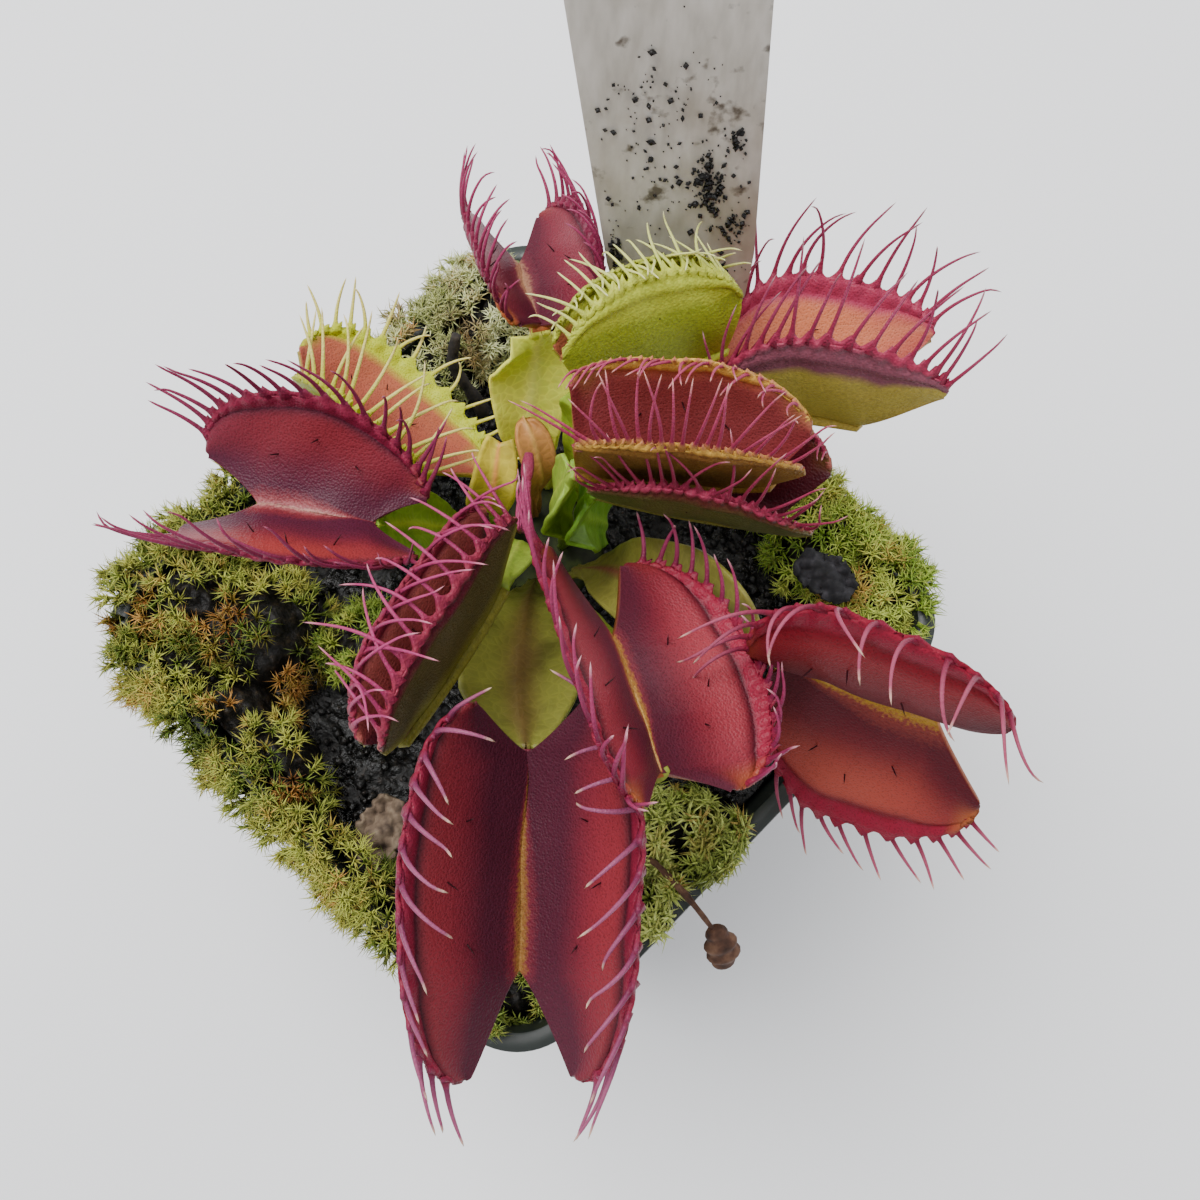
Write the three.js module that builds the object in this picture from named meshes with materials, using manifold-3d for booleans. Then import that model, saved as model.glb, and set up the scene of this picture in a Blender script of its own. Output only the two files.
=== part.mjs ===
// A potted Venus flytrap: a square nursery pot of peat and moss with eleven grown leaves,
// each a winged stalk that carries a two-lobed trap fringed with teeth. Millimetres, +Z up.
// The origin is the centre of the pot's underside, and the pot's sides lie along X and Y.
// Everything that grows is laid out in the plant's own frame, which stands at 45 degrees
// to the pot: there X runs to the right and Y to the back of somebody facing a pot corner.
import * as THREE from 'three';
import { mergeVertices } from 'three/addons/utils/BufferGeometryUtils.js';
import Module from 'manifold-3d';

const wasm = await Module();
wasm.setup();

// ---------------------------------------------------------------- driving dimensions
const PLANT_TURN = -45;              // degrees from the pot's frame to the plant's frame
const CLEAR = 0.3;                   // gap between pieces that touch

const POT = {
  rim: 76, base: 56, height: 76,     // outside widths at the rim and at the base
  wall: 1.2, floor: 1.6, corner: 9,
  band: 12, lip: 1.1,                // the stepped band below the rim and how far it stands out
  drainRadius: 4, drainAt: 16,
};
const SOIL_TOP = 70;                 // the highest the peat reaches
const SOIL_DIP = 1.6;                // how far its hollows lie below that
const CROWN = { x: 2, y: 12, radius: 8.6, top: 71, depth: 13 };
const FOOT_RING = 6.6;               // where the outer leaf stalks stand on the crown
const INNER_RING = 3.0;

// full = the powers of the lobes' superellipse outline, towards the tip and towards the root.
const LOBE = { thick: 0.9, full: [2.3, 2.3], end: 0.96, across: 3, along: 8, seam: 0.02 };
const TOOTH = { radius: 0.42, taper: 0.72, perLobe: 9, span: 1.84, sunk: 0.12 };
const MIDRIB = { radius: 1.1, taper: 0.2, neck: 0.06 };
const STALK = {
  footWide: 2.2, neckWide: 2.2, thick: 0.9, spine: 0.35, across: 4, seat: 0.8, neckGap: 1.3,
};

// A leaf's trap: centre of its midrib (x, y, z), the way its midrib points (az), its rise (el)
// and its roll, the midrib's length and how far the lobes run on past its tip and root, the
// lobe's width, the lobes' slopes at the midrib and at the margin (left, right), the bow of
// the whole trap along its length, and the lobe tips' distance from the midrib line (of the
// width). teeth = length, lean towards the mouth, further curl, fan towards the lobe tips, and
// where all of them hang to one side, their drift along the midrib.
// Its stalk: foot = place round the crown in degrees (inner: on the inner ring), wing = width,
// arch = the two middle points of its curve.
const LEAVES = {
  front: {
    x: 1.8, y: -29.9, z: 101, az: -92, el: -18, roll: 5, midrib: 21.2, tipRun: 9.5, rootRun: 5.9,
    width: 15.2, left: [24, 68], right: [38, 50], bow: 16, tips: [0.4, 0.4],
    teeth: { left: [9, 55, 45, 1.3, 0.45], right: [8, 50, 40, 1.5, 0.6] },
    foot: -97, wing: 13, arch: [[1, -3, 88], [1, -13, 97]], color: 0x7a1f2e, green: 0x7d7f35,
  },
  middle: {
    x: 12.6, y: -16.2, z: 109.2, az: 109, el: -6, roll: -31, midrib: 13.5, tipRun: 8.6, rootRun: 2.9,
    width: 13.7, left: [40, 36], right: [-13, 42], bow: -22, tips: [0.4, 0.55],
    teeth: { left: [8.5, 12, 20, 0.8, 0.6], right: [6.5, 40, 30, 0.6, 0.5] },
    foot: -73, wing: 5, arch: [[10, -5, 84], [16, -18, 96]], color: 0x86222f, green: 0x93a53a,
  },
  right: {
    x: 34.6, y: -13.4, z: 103.2, az: -23, el: 15, roll: -36, midrib: 15.4, tipRun: 6.6, rootRun: 1.9,
    width: 19.8, left: [79, 23], right: [-22, -22], bow: -8, tips: [0.5, 0.15],
    teeth: { left: [9.5, 30, 60, 0.7, -0.45], right: [6.5, 5, 20, 1, 0.35] },
    foot: -50, wing: 12, arch: [[12, 2, 88], [20, -5, 98]], color: 0x93292f, green: 0x7b8438,
  },
  inner_left: {
    x: -5.2, y: -11.3, z: 103.6, az: -119, el: 10, roll: -20, midrib: 18.3, tipRun: 3.2, rootRun: 6,
    width: 10.6, left: [70, 88], right: [62, 85], bow: 25, tips: [0.25, 0.5],
    teeth: { left: [9.5, 45, 25, 0.3, -0.25], right: [9.5, 45, 25, 0.3, -0.25] },
    foot: -110, inner: true, wing: 5, arch: [[0.5, 6, 84], [0.5, 3, 95]],
    color: 0x7a7b36, green: 0x8aa03a,
  },
  left: {
    x: -20.2, y: 5.3, z: 100.5, az: 171, el: 0, roll: -8, midrib: 11.9, tipRun: 5.8, rootRun: 4.8,
    width: 12.8, left: [28, 60], right: [16, 74], bow: -34, tips: [0.4, 0.3], full: [2.3, 1.3],
    teeth: { left: [9, 10, 20, 0.6, 0.45], right: [8, 8, 15, 0.7, 0.3] },
    foot: 194, wing: 8, arch: [[-8, 9, 82], [-13, 6.6, 92.6]], color: 0x7a1d2e, green: 0x7fa035,
  },
  lime: {
    x: -19.2, y: 18.4, z: 89, az: 143, el: 20, roll: 2, midrib: 14.1, tipRun: 3.1, rootRun: 6.2,
    width: 12.3, left: [96, 88], right: [-26, -12], bow: 48, tips: [0.3, 0.5],
    teeth: { left: [9.5, 55, 15, 0.9], right: [6, 10, 20, 1.4] },
    foot: 160, wing: 4.5, arch: [[-9, 12, 75], [-14, 12.5, 80]], color: 0xa9b53a, green: 0x8fae3a,
  },
  back: {
    x: 1.4, y: 31, z: 98.2, az: 108, el: -18, roll: -3, midrib: 9.6, tipRun: 5, rootRun: 2.2,
    width: 10.7, left: [43, 81], right: [10, 70], bow: 0, tips: [0.4, 0.4],
    teeth: { left: [7, 15, 25, 0.7, 0.3], right: [7, 15, 25, 0.7, 0.3] },
    foot: 84, wing: 10, arch: [[1, 21, 84], [2, 26, 93]], color: 0x84202f, green: 0x8fb53a,
  },
  yellow: {
    x: 15.1, y: 20.8, z: 101, az: 20, el: -8, roll: 36, midrib: 16.5, tipRun: 3, rootRun: 3.5,
    width: 12.4, left: [69, 104], right: [60, 103], bow: 36, tips: [0.45, 0.3],
    teeth: { left: [6, 50, 15, 0.4, 0.1], right: [6.5, 30, 20, 0.4, -0.35] },
    foot: 50, wing: 6, arch: [[6.8, 17.6, 82], [7.4, 19, 92]], color: 0xa9b82a, green: 0x9db53a,
  },
  back_right: {
    x: 31.2, y: 18.8, z: 95, az: -9, el: 0, roll: 27, midrib: 13.3, tipRun: 6.1, rootRun: 3,
    width: 15.1, left: [26, 62], right: [50, 87], bow: -8, tips: [0.7, 0.15],
    teeth: { left: [10, 10, 15, 0.4, 0.1], right: [10, 10, 10, 0.4, 0.15] },
    foot: 22, wing: 8, arch: [[14, 17, 82], [20, 20, 91]], color: 0x9c5a3a, green: 0x93a53a,
  },
  centre: {
    x: 16.6, y: 7, z: 105.8, az: -5, el: 2, roll: 0, midrib: 19.6, tipRun: 5.6, rootRun: 4.4,
    width: 14.8, left: [35, 85], right: [79, 85], bow: 62, tips: [0.3, 0.6],
    teeth: { left: [7, 55, 40, 0.3, -0.5], right: [9.5, 10, 15, 1.2] },
    foot: -20, inner: true, wing: 6.5, arch: [[5.4, 10, 84], [4.6, 7.6, 96]],
    color: 0x8a2a30, green: 0x9db53a,
  },
  low: {
    x: 18.1, y: 5.7, z: 100.6, az: -12, el: 0, roll: 0, midrib: 18.8, tipRun: 5.5, rootRun: 2,
    width: 13.2, left: [20, 60], right: [56, 104], bow: 40, tips: [0.4, 0.4],
    teeth: { left: [4, 60, 25, 0.3], right: [9, -10, 10, 1.1] },
    foot: -4, wing: 8, arch: [[9.5, 10, 82], [7.2, 7.4, 94]], color: 0x5d4a2c, green: 0x86ad33,
  },
};

// ---------------------------------------------------------------- small tools
const rad = THREE.MathUtils.degToRad;
const mix = THREE.MathUtils.lerp;
const vec = (x, y, z) => new THREE.Vector3(x, y, z);

// A closed mesh as a solid that can be joined or cut.
function solid(geometry) {
  const bare = geometry.clone();
  bare.deleteAttribute('normal');
  bare.deleteAttribute('uv');
  const merged = mergeVertices(bare, 1e-5);
  const position = merged.getAttribute('position');
  return new wasm.Manifold(new wasm.Mesh({
    numProp: 3,
    vertProperties: new Float32Array(position.array),
    triVerts: new Uint32Array(merged.getIndex().array),
  }));
}

function geometryOf(body) {
  const mesh = body.getMesh();
  const geometry = new THREE.BufferGeometry();
  geometry.setAttribute('position', new THREE.BufferAttribute(mesh.vertProperties, 3));
  geometry.setIndex(new THREE.BufferAttribute(mesh.triVerts, 1));
  return geometry;
}

// A grid of rows of points, walked over by two triangles a cell.
function gridFaces(rows, columns, start, flip, faces) {
  for (let i = 0; i < rows - 1; i += 1) {
    for (let j = 0; j < columns - 1; j += 1) {
      const a = start + i * columns + j;
      const b = a + 1;
      const c = a + columns;
      const d = c + 1;
      if (flip) faces.push(a, b, d, a, d, c);
      else faces.push(a, d, b, a, c, d);
    }
  }
}

// A thin closed blade. point(i, j) gives the middle surface, half(i, j) half its thickness.
// Both faces share one triangulation, and a wall runs round the edge.
function blade(rows, columns, point, half) {
  const middle = [];
  for (let i = 0; i < rows; i += 1) {
    for (let j = 0; j < columns; j += 1) middle.push(point(i, j));
  }
  const at = (i, j) => middle[THREE.MathUtils.clamp(i, 0, rows - 1) * columns
    + THREE.MathUtils.clamp(j, 0, columns - 1)];
  const top = [];
  const under = [];
  for (let i = 0; i < rows; i += 1) {
    for (let j = 0; j < columns; j += 1) {
      const along = at(i + 1, j).clone().sub(at(i - 1, j));
      const across = at(i, j + 1).clone().sub(at(i, j - 1));
      const normal = along.cross(across).normalize().multiplyScalar(half(i, j));
      top.push(at(i, j).clone().add(normal));
      under.push(at(i, j).clone().sub(normal));
    }
  }
  const count = rows * columns;
  const faces = [];
  gridFaces(rows, columns, 0, false, faces);
  gridFaces(rows, columns, count, true, faces);
  const edge = [];
  for (let j = 0; j < columns; j += 1) edge.push(j);
  for (let i = 1; i < rows; i += 1) edge.push(i * columns + columns - 1);
  for (let j = columns - 2; j >= 0; j -= 1) edge.push((rows - 1) * columns + j);
  for (let i = rows - 2; i > 0; i -= 1) edge.push(i * columns);
  edge.forEach((a, k) => {
    const b = edge[(k + 1) % edge.length];
    faces.push(a, b, b + count, a, b + count, a + count);
  });
  return outward(meshOf([...top, ...under], faces));
}

function meshOf(points, faces) {
  const geometry = new THREE.BufferGeometry().setFromPoints(points);
  geometry.setIndex(faces);
  return geometry;
}

// Turns a closed mesh right side out by the sign of its volume.
function outward(geometry) {
  const position = geometry.getAttribute('position');
  const index = geometry.getIndex();
  const corner = (k) => new THREE.Vector3().fromBufferAttribute(position, index.getX(k));
  let volume = 0;
  for (let k = 0; k < index.count; k += 3) {
    volume += corner(k).dot(corner(k + 1).cross(corner(k + 2)));
  }
  if (volume < 0) {
    for (let k = 0; k < index.count; k += 3) {
      const swap = index.getX(k + 1);
      index.setX(k + 1, index.getX(k + 2));
      index.setX(k + 2, swap);
    }
  }
  return geometry;
}

// Rings of points joined into a closed body, with a flat fan over each end.
function lofted(rings) {
  const sides = rings[0].length;
  const points = rings.flat();
  const faces = [];
  for (let i = 0; i < rings.length - 1; i += 1) {
    for (let j = 0; j < sides; j += 1) {
      const a = i * sides + j;
      const b = i * sides + ((j + 1) % sides);
      faces.push(a, b, b + sides, a, b + sides, a + sides);
    }
  }
  const last = (rings.length - 1) * sides;
  for (let j = 1; j < sides - 1; j += 1) {
    faces.push(0, j + 1, j);
    faces.push(last, last + j, last + j + 1);
  }
  return outward(meshOf(points, faces));
}

// A tapering rod along a list of points: radius(k) for k from 0 to 1, with a few flat sides.
function rod(path, sides, radius) {
  let side = vec(0.8, -0.5, 0.3);
  const rings = path.map((point, i) => {
    const before = path[Math.max(i - 1, 0)];
    const after = path[Math.min(i + 1, path.length - 1)];
    const along = after.clone().sub(before).normalize();
    side = side.clone().addScaledVector(along, -side.dot(along)).normalize();
    const up = along.clone().cross(side);
    const r = radius(i / (path.length - 1));
    return Array.from({ length: sides }, (_, j) => {
      const angle = (2 * Math.PI * j) / sides;
      return point.clone().addScaledVector(side, r * Math.cos(angle))
        .addScaledVector(up, r * Math.sin(angle));
    });
  });
  return lofted(rings);
}

// A three-sided spike with a bend in the middle, from its sunk root to its point.
function spike(root, middle, point, radius) {
  const along = middle.clone().sub(root).normalize();
  const side = Math.abs(along.z) < 0.9 ? vec(0, 0, 1).cross(along) : vec(1, 0, 0).cross(along);
  side.normalize();
  const up = along.clone().cross(side);
  const ring = (centre, r) => [0, 120, 240].map((turn) => (
    centre.clone().addScaledVector(side, r * Math.cos(rad(turn)))
      .addScaledVector(up, r * Math.sin(rad(turn)))));
  const points = [...ring(root, radius), ...ring(middle, radius * TOOTH.taper), point];
  const faces = [0, 2, 1];
  for (let j = 0; j < 3; j += 1) {
    const next = (j + 1) % 3;
    faces.push(j, next, next + 3, j, next + 3, j + 3, j + 3, next + 3, 6);
  }
  return outward(meshOf(points, faces));
}

// A seeded random sequence, so that every build is the same.
function randomFrom(seed) {
  let state = seed;
  return () => {
    state = (state * 1664525 + 1013904223) % 4294967296;
    return state / 4294967296;
  };
}

function fuse(geometries) {
  return geometries.map(solid).reduce((whole, next) => whole.add(next));
}

// The main body of what a cut leaves; loose scraps are dropped.
function mainBody(body) {
  return body.decompose().sort((a, b) => b.volume() - a.volume())[0];
}

// ---------------------------------------------------------------- the pot
// A rounded square ring of points at one height, with the corners as quarter rounds.
function squareRing(half, corner, z, steps = 3) {
  const ring = [];
  const inset = half - corner;
  [[1, 1, 0], [-1, 1, 90], [-1, -1, 180], [1, -1, 270]].forEach(([sx, sy, start]) => {
    for (let k = 0; k <= steps; k += 1) {
      const angle = rad(start + (90 * k) / steps);
      ring.push(vec(sx * inset + corner * Math.cos(angle), sy * inset + corner * Math.sin(angle), z));
    }
  });
  return ring;
}

const potHalf = (z) => mix(POT.base / 2, POT.rim / 2 - POT.lip, z / POT.height);
const potCorner = (z) => mix(POT.corner - 3, POT.corner - POT.lip, z / POT.height);

function makePot() {
  const bandFoot = POT.height - POT.band;
  const outer = lofted([
    squareRing(potHalf(0), potCorner(0), 0),
    squareRing(potHalf(bandFoot), potCorner(bandFoot), bandFoot),
    squareRing(potHalf(bandFoot) + POT.lip, potCorner(bandFoot) + POT.lip, bandFoot + 1),
    squareRing(POT.rim / 2, POT.corner, POT.height),
  ]);
  const inner = lofted([
    squareRing(potHalf(POT.floor) - POT.wall, potCorner(POT.floor) - POT.wall, POT.floor),
    squareRing(potHalf(POT.height) - POT.wall, potCorner(POT.height) - POT.wall, POT.height + 1),
  ]);
  let pot = solid(outer).subtract(solid(inner));
  [[1, 1], [-1, 1], [-1, -1], [1, -1]].forEach(([sx, sy]) => {
    const drain = new THREE.CylinderGeometry(POT.drainRadius, POT.drainRadius, POT.floor + 4, 12);
    drain.rotateX(Math.PI / 2);
    drain.translate(sx * POT.drainAt, sy * POT.drainAt, POT.floor / 2);
    pot = pot.subtract(solid(drain));
  });
  return pot;
}

// The space inside the pot's walls, a little clear of them.
function insidePot(bottom, top) {
  const ring = (z) => squareRing(
    potHalf(z) - POT.wall - CLEAR,
    potCorner(z) - POT.wall - CLEAR,
    z,
  );
  return lofted([ring(bottom), ring(top)]);
}

// ---------------------------------------------------------------- the peat
// The peat's surface: low swells from crossing waves, never above SOIL_TOP.
function peatHeight(x, y) {
  const swell = Math.sin(x * 0.21 + 1.3) * Math.cos(y * 0.17 - 0.4)
    + 0.5 * Math.sin(x * 0.43 - y * 0.37);
  return SOIL_TOP - SOIL_DIP * (0.5 - swell / 3);
}

function makePeat(hollows) {
  const cells = 8;
  const span = POT.rim + 2;
  const points = [];
  for (let i = 0; i <= cells; i += 1) {
    for (let j = 0; j <= cells; j += 1) {
      const x = span * (i / cells - 0.5);
      const y = span * (j / cells - 0.5);
      points.push(vec(x, y, peatHeight(x, y)));
    }
  }
  const rows = cells + 1;
  const faces = [];
  gridFaces(rows, rows, 0, false, faces);
  const count = points.length;
  const low = [];
  for (let j = 0; j < rows; j += 1) low.push(j);
  for (let i = 1; i < rows; i += 1) low.push(i * rows + rows - 1);
  for (let j = rows - 2; j >= 0; j -= 1) low.push((rows - 1) * rows + j);
  for (let i = rows - 2; i > 0; i -= 1) low.push(i * rows);
  low.forEach((k) => points.push(vec(points[k].x, points[k].y, 0)));
  low.forEach((a, k) => {
    const next = (k + 1) % low.length;
    faces.push(a, low[next], count + next, a, count + next, count + k);
  });
  for (let k = 1; k < low.length - 1; k += 1) faces.push(count, count + k, count + k + 1);
  const block = solid(outward(meshOf(points, faces)));
  const fill = solid(insidePot(POT.floor + CLEAR, POT.height));
  return mainBody(hollows.reduce((body, hollow) => body.subtract(hollow), block.intersect(fill)));
}

// ---------------------------------------------------------------- the crown and its roots
// The underground stem that every leaf stands on, with three thick roots.
function makeCrown(grow) {
  const { x, y, radius, top, depth } = CROWN;
  const profile = [
    [0, top - depth - grow], [radius * 0.45 + grow, top - depth - grow],
    [radius * 0.85 + grow, top - depth * 0.55], [radius + grow, top - 2],
    [radius + grow, top + (grow > 0 ? 4 : 0)], [0, top + (grow > 0 ? 4 : 0)],
  ].map(([r, z]) => new THREE.Vector2(r, z));
  const bulb = new THREE.LatheGeometry(profile, 20);
  bulb.rotateX(Math.PI / 2);
  bulb.translate(x, y, 0);
  const roots = [[-60, 5], [60, 4], [180, 6]].map(([turn, splay]) => {
    const out = vec(Math.cos(rad(turn)), Math.sin(rad(turn)), 0);
    const start = vec(x, y, top - depth + 2).addScaledVector(out, 1.8);
    const end = vec(x, y, 24 - grow).addScaledVector(out, 1.8 + splay);
    const bend = start.clone().lerp(end, 0.5).addScaledVector(out, 1);
    return rod([start, bend, end], 6, (k) => mix(1.3, 0.8, k) + grow);
  });
  return fuse([outward(bulb), ...roots]);
}

// ---------------------------------------------------------------- traps
// The trap's own axes: its midrib, its side and its mouth.
function trapAxes(leaf) {
  const [az, el, roll] = [rad(leaf.az), rad(leaf.el), rad(leaf.roll)];
  const along = vec(Math.cos(az) * Math.cos(el), Math.sin(az) * Math.cos(el), Math.sin(el));
  const rise = vec(-Math.cos(az) * Math.sin(el), -Math.sin(az) * Math.sin(el), Math.cos(el));
  const cross = rise.clone().cross(along);
  const mouth = rise.clone().multiplyScalar(Math.cos(roll)).addScaledVector(cross, Math.sin(roll));
  const side = cross.clone().multiplyScalar(Math.cos(roll)).addScaledVector(rise, -Math.sin(roll));
  return { along, side, mouth, centre: vec(leaf.x, leaf.y, leaf.z) };
}

// A point of one lobe. s runs from the root end (-1) to the tip end (1), t from the midrib (0)
// to the margin (1). Across, the lobe is an arc whose slope turns from its first to its last
// angle, and its outline is a superellipse that narrows to a corner at each end. Along, the
// whole trap is bowed on a circle.
function lobePoint(leaf, axes, sign, s, t) {
  const half = leaf.midrib / 2;
  const reach = half + (s >= 0 ? leaf.tipRun : leaf.rootRun);
  const tip = (s >= 0 ? leaf.tips[0] : leaf.tips[1]) * leaf.width;
  const free = Math.max((Math.abs(s) - half / reach) / (1 - half / reach), 0);
  const power = (leaf.full || LOBE.full)[s >= 0 ? 0 : 1];
  const round = Math.max(1 - Math.abs(s) ** power, 0) ** (1 / power);
  const outer = tip + (leaf.width - tip) * round;
  const inner = tip * Math.min(free, 1) ** 0.8;
  const b = mix(inner, outer, t) / leaf.width;
  const [first, last] = (sign > 0 ? leaf.left : leaf.right).map(rad);
  const turn = last - first || 1e-4;
  const out = (leaf.width / turn) * (Math.sin(first + turn * b) - Math.sin(first));
  const high = (leaf.width / turn) * (Math.cos(first) - Math.cos(first + turn * b));
  const a = s * reach;
  const bow = rad(leaf.bow || 1e-3);
  const circle = (leaf.midrib + leaf.tipRun + leaf.rootRun) / bow;
  const angle = a / circle;
  return axes.centre.clone()
    .addScaledVector(axes.along, (circle - high) * Math.sin(angle))
    .addScaledVector(axes.side, sign * out)
    .addScaledVector(axes.mouth, circle - (circle - high) * Math.cos(angle));
}

// The lobe ends are sampled closer together, so that its corners come out round.
const lobeStep = (k) => Math.sin((Math.PI / 2) * LOBE.end * k);

function makeLobe(leaf, axes, sign) {
  return blade(
    LOBE.along + 1,
    LOBE.across + 1,
    (i, j) => lobePoint(leaf, axes, sign, lobeStep((2 * i) / LOBE.along - 1),
      mix(LOBE.seam, 1, j / LOBE.across)),
    () => LOBE.thick / 2,
  );
}

function makeMidrib(leaf, axes) {
  const path = [-1 - MIDRIB.neck, -0.5, 0, 0.5, 1].map((k) => {
    const reach = leaf.midrib / 2 + (k >= 0 ? leaf.tipRun : leaf.rootRun);
    return lobePoint(leaf, axes, 1, (k * leaf.midrib) / 2 / reach, 0);
  });
  return rod(path, 5, (k) => MIDRIB.radius * (1 - MIDRIB.taper * k));
}

// A three-sided tooth on the margin. It leaves along the lobe's own slope, leans towards the
// mouth and fans towards the lobe tips. extra = thickness added all round.
function makeTooth(leaf, axes, sign, k, lean, reach, extra) {
  const [length, leanFirst, curl, fan, drift = 0] = sign > 0 ? leaf.teeth.left : leaf.teeth.right;
  const s = lobeStep(k);
  const root = lobePoint(leaf, axes, sign, s, 1);
  const out = root.clone().sub(lobePoint(leaf, axes, sign, s, 0.9)).normalize();
  const along = lobePoint(leaf, axes, sign, Math.min(s + 0.02, 1), 1)
    .sub(lobePoint(leaf, axes, sign, Math.max(s - 0.02, -1), 1)).normalize();
  const inward = along.clone().cross(out).multiplyScalar(sign).normalize();
  const heading = (part) => {
    const tilt = rad(leanFirst + lean + curl * part);
    return out.clone().multiplyScalar(Math.cos(tilt)).addScaledVector(inward, Math.sin(tilt))
      .addScaledVector(axes.along, fan * k + drift).normalize();
  };
  const grown = length * reach + extra;
  const base = lobePoint(leaf, axes, sign, s, 1 - TOOTH.sunk);
  const middle = root.clone().addScaledVector(heading(0.5), grown / 2);
  const point = root.clone().addScaledVector(heading(1), grown);
  return spike(base, middle, point, TOOTH.radius + extra);
}

function touches(body, others) {
  const box = body.boundingBox();
  return others.some((other) => {
    const far = other.boundingBox();
    const apart = [0, 1, 2].some((n) => box.min[n] > far.max[n] || box.max[n] < far.min[n]);
    return !apart && !body.intersect(other).isEmpty();
  });
}

// Every tooth keeps clear of the other leaves: it leans in or out until it does, then it is
// shorter, and where even that finds no room it is left off.
const LEANS = [0, -15, 15, -30, 30, 45, -45, 60];
function addTeeth(leaf, axes, trap, others) {
  let whole = trap;
  [1, -1].forEach((sign) => {
    for (let n = 0; n < TOOTH.perLobe; n += 1) {
      const step = TOOTH.span / TOOTH.perLobe;
      const k = step * (n + (sign > 0 ? 0.3 : 0.7)) - TOOTH.span / 2;
      const tries = [1, 0.7, 0.45].flatMap((reach) => LEANS.map((lean) => [lean, reach]));
      const free = tries.find(([lean, reach]) => (
        !touches(solid(makeTooth(leaf, axes, sign, k, lean, reach, 2 * CLEAR)), others)));
      if (free) whole = whole.add(solid(makeTooth(leaf, axes, sign, k, free[0], free[1], 0)));
    }
  });
  return mainBody(whole);
}

// ---------------------------------------------------------------- leaf stalks
// The stalk rises from the crown as a narrow foot, widens into a wing with rounded shoulders
// and narrows to a short neck behind the trap. Its section is a shallow trough.
function stalkCurve(leaf, axes) {
  const ring = leaf.inner ? INNER_RING : FOOT_RING;
  const out = vec(Math.cos(rad(leaf.foot)), Math.sin(rad(leaf.foot)), 0);
  const foot = vec(CROWN.x, CROWN.y, CROWN.top + STALK.seat).addScaledVector(out, ring);
  const rib = leaf.midrib / 2;
  const end = lobePoint(leaf, axes, 1, -rib / (rib + leaf.rootRun), 0)
    .addScaledVector(axes.along, -(rib * MIDRIB.neck + CLEAR + STALK.neckGap));
  const points = [foot, ...leaf.arch.map((p) => vec(...p)), end];
  return new THREE.CatmullRomCurve3(points, false, 'centripetal');
}

function wingWidth(leaf, k) {
  const rise = THREE.MathUtils.smoothstep(k, 0.05, 0.72);
  const swell = mix(STALK.footWide, leaf.wing, rise);
  const shoulder = Math.max((k - 0.72) / 0.18, 0);
  return mix(STALK.neckWide, swell, Math.sqrt(Math.max(1 - Math.min(shoulder, 1) ** 2, 0)));
}

function makeStalk(leaf, axes) {
  const curve = stalkCurve(leaf, axes);
  const out = vec(Math.cos(rad(leaf.foot)), Math.sin(rad(leaf.foot)), 0);
  const footSide = vec(0, 0, 1).cross(out);
  const endSide = axes.side.clone();
  if (footSide.dot(endSide) < 0) endSide.negate();
  const steps = [0, 0.2, 0.4, 0.58, 0.72, 0.84, 0.93, 1];
  return blade(steps.length, STALK.across + 1, (i, j) => {
    const k = steps[i];
    const along = curve.getTangentAt(k);
    const side = footSide.clone().lerp(endSide, k);
    side.addScaledVector(along, -side.dot(along)).normalize();
    const up = along.clone().cross(side);
    if (up.z < 0 || (Math.abs(up.z) < 0.2 && up.dot(out) > 0)) up.negate();
    const across = (2 * j) / STALK.across - 1;
    const width = wingWidth(leaf, k);
    return curve.getPointAt(k).addScaledVector(side, (across * width) / 2)
      .addScaledVector(up, 0.16 * width * Math.abs(across) ** 1.6);
  }, (i, j) => {
    const across = Math.abs((2 * j) / STALK.across - 1);
    return STALK.thick / 2 + STALK.spine * (1 - across) ** 2;
  });
}

// ---------------------------------------------------------------- young leaves
// A young leaf that is still unfolding: a narrow stalk with a small heart-shaped blade.
function makeYoungLeaf({ path, width, turn, ears }) {
  const curve = new THREE.CatmullRomCurve3(path.map((p) => vec(...p)), false, 'centripetal');
  const across = vec(Math.cos(rad(turn)), Math.sin(rad(turn)), 0);
  const steps = [0, 0.2, 0.4, 0.56, 0.7, 0.82, 0.92, 1];
  return blade(steps.length, 5, (i, j) => {
    const k = steps[i];
    const along = curve.getTangentAt(k);
    const side = across.clone().addScaledVector(along, -across.dot(along)).normalize();
    const up = along.clone().cross(side);
    const part = j / 2 - 1;
    const swell = mix(1.6, width, THREE.MathUtils.smoothstep(k, 0.3, 0.8));
    const round = k > 0.8 ? Math.sqrt(1 - ((k - 0.8) / 0.23) ** 2) : 1;
    return curve.getPointAt(k).addScaledVector(side, (part * swell * round) / 2)
      .addScaledVector(along, k === 1 ? ears * Math.abs(part) : 0)
      .addScaledVector(up, -0.18 * swell * part * part);
  }, () => STALK.thick / 2 + 0.1);
}

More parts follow.
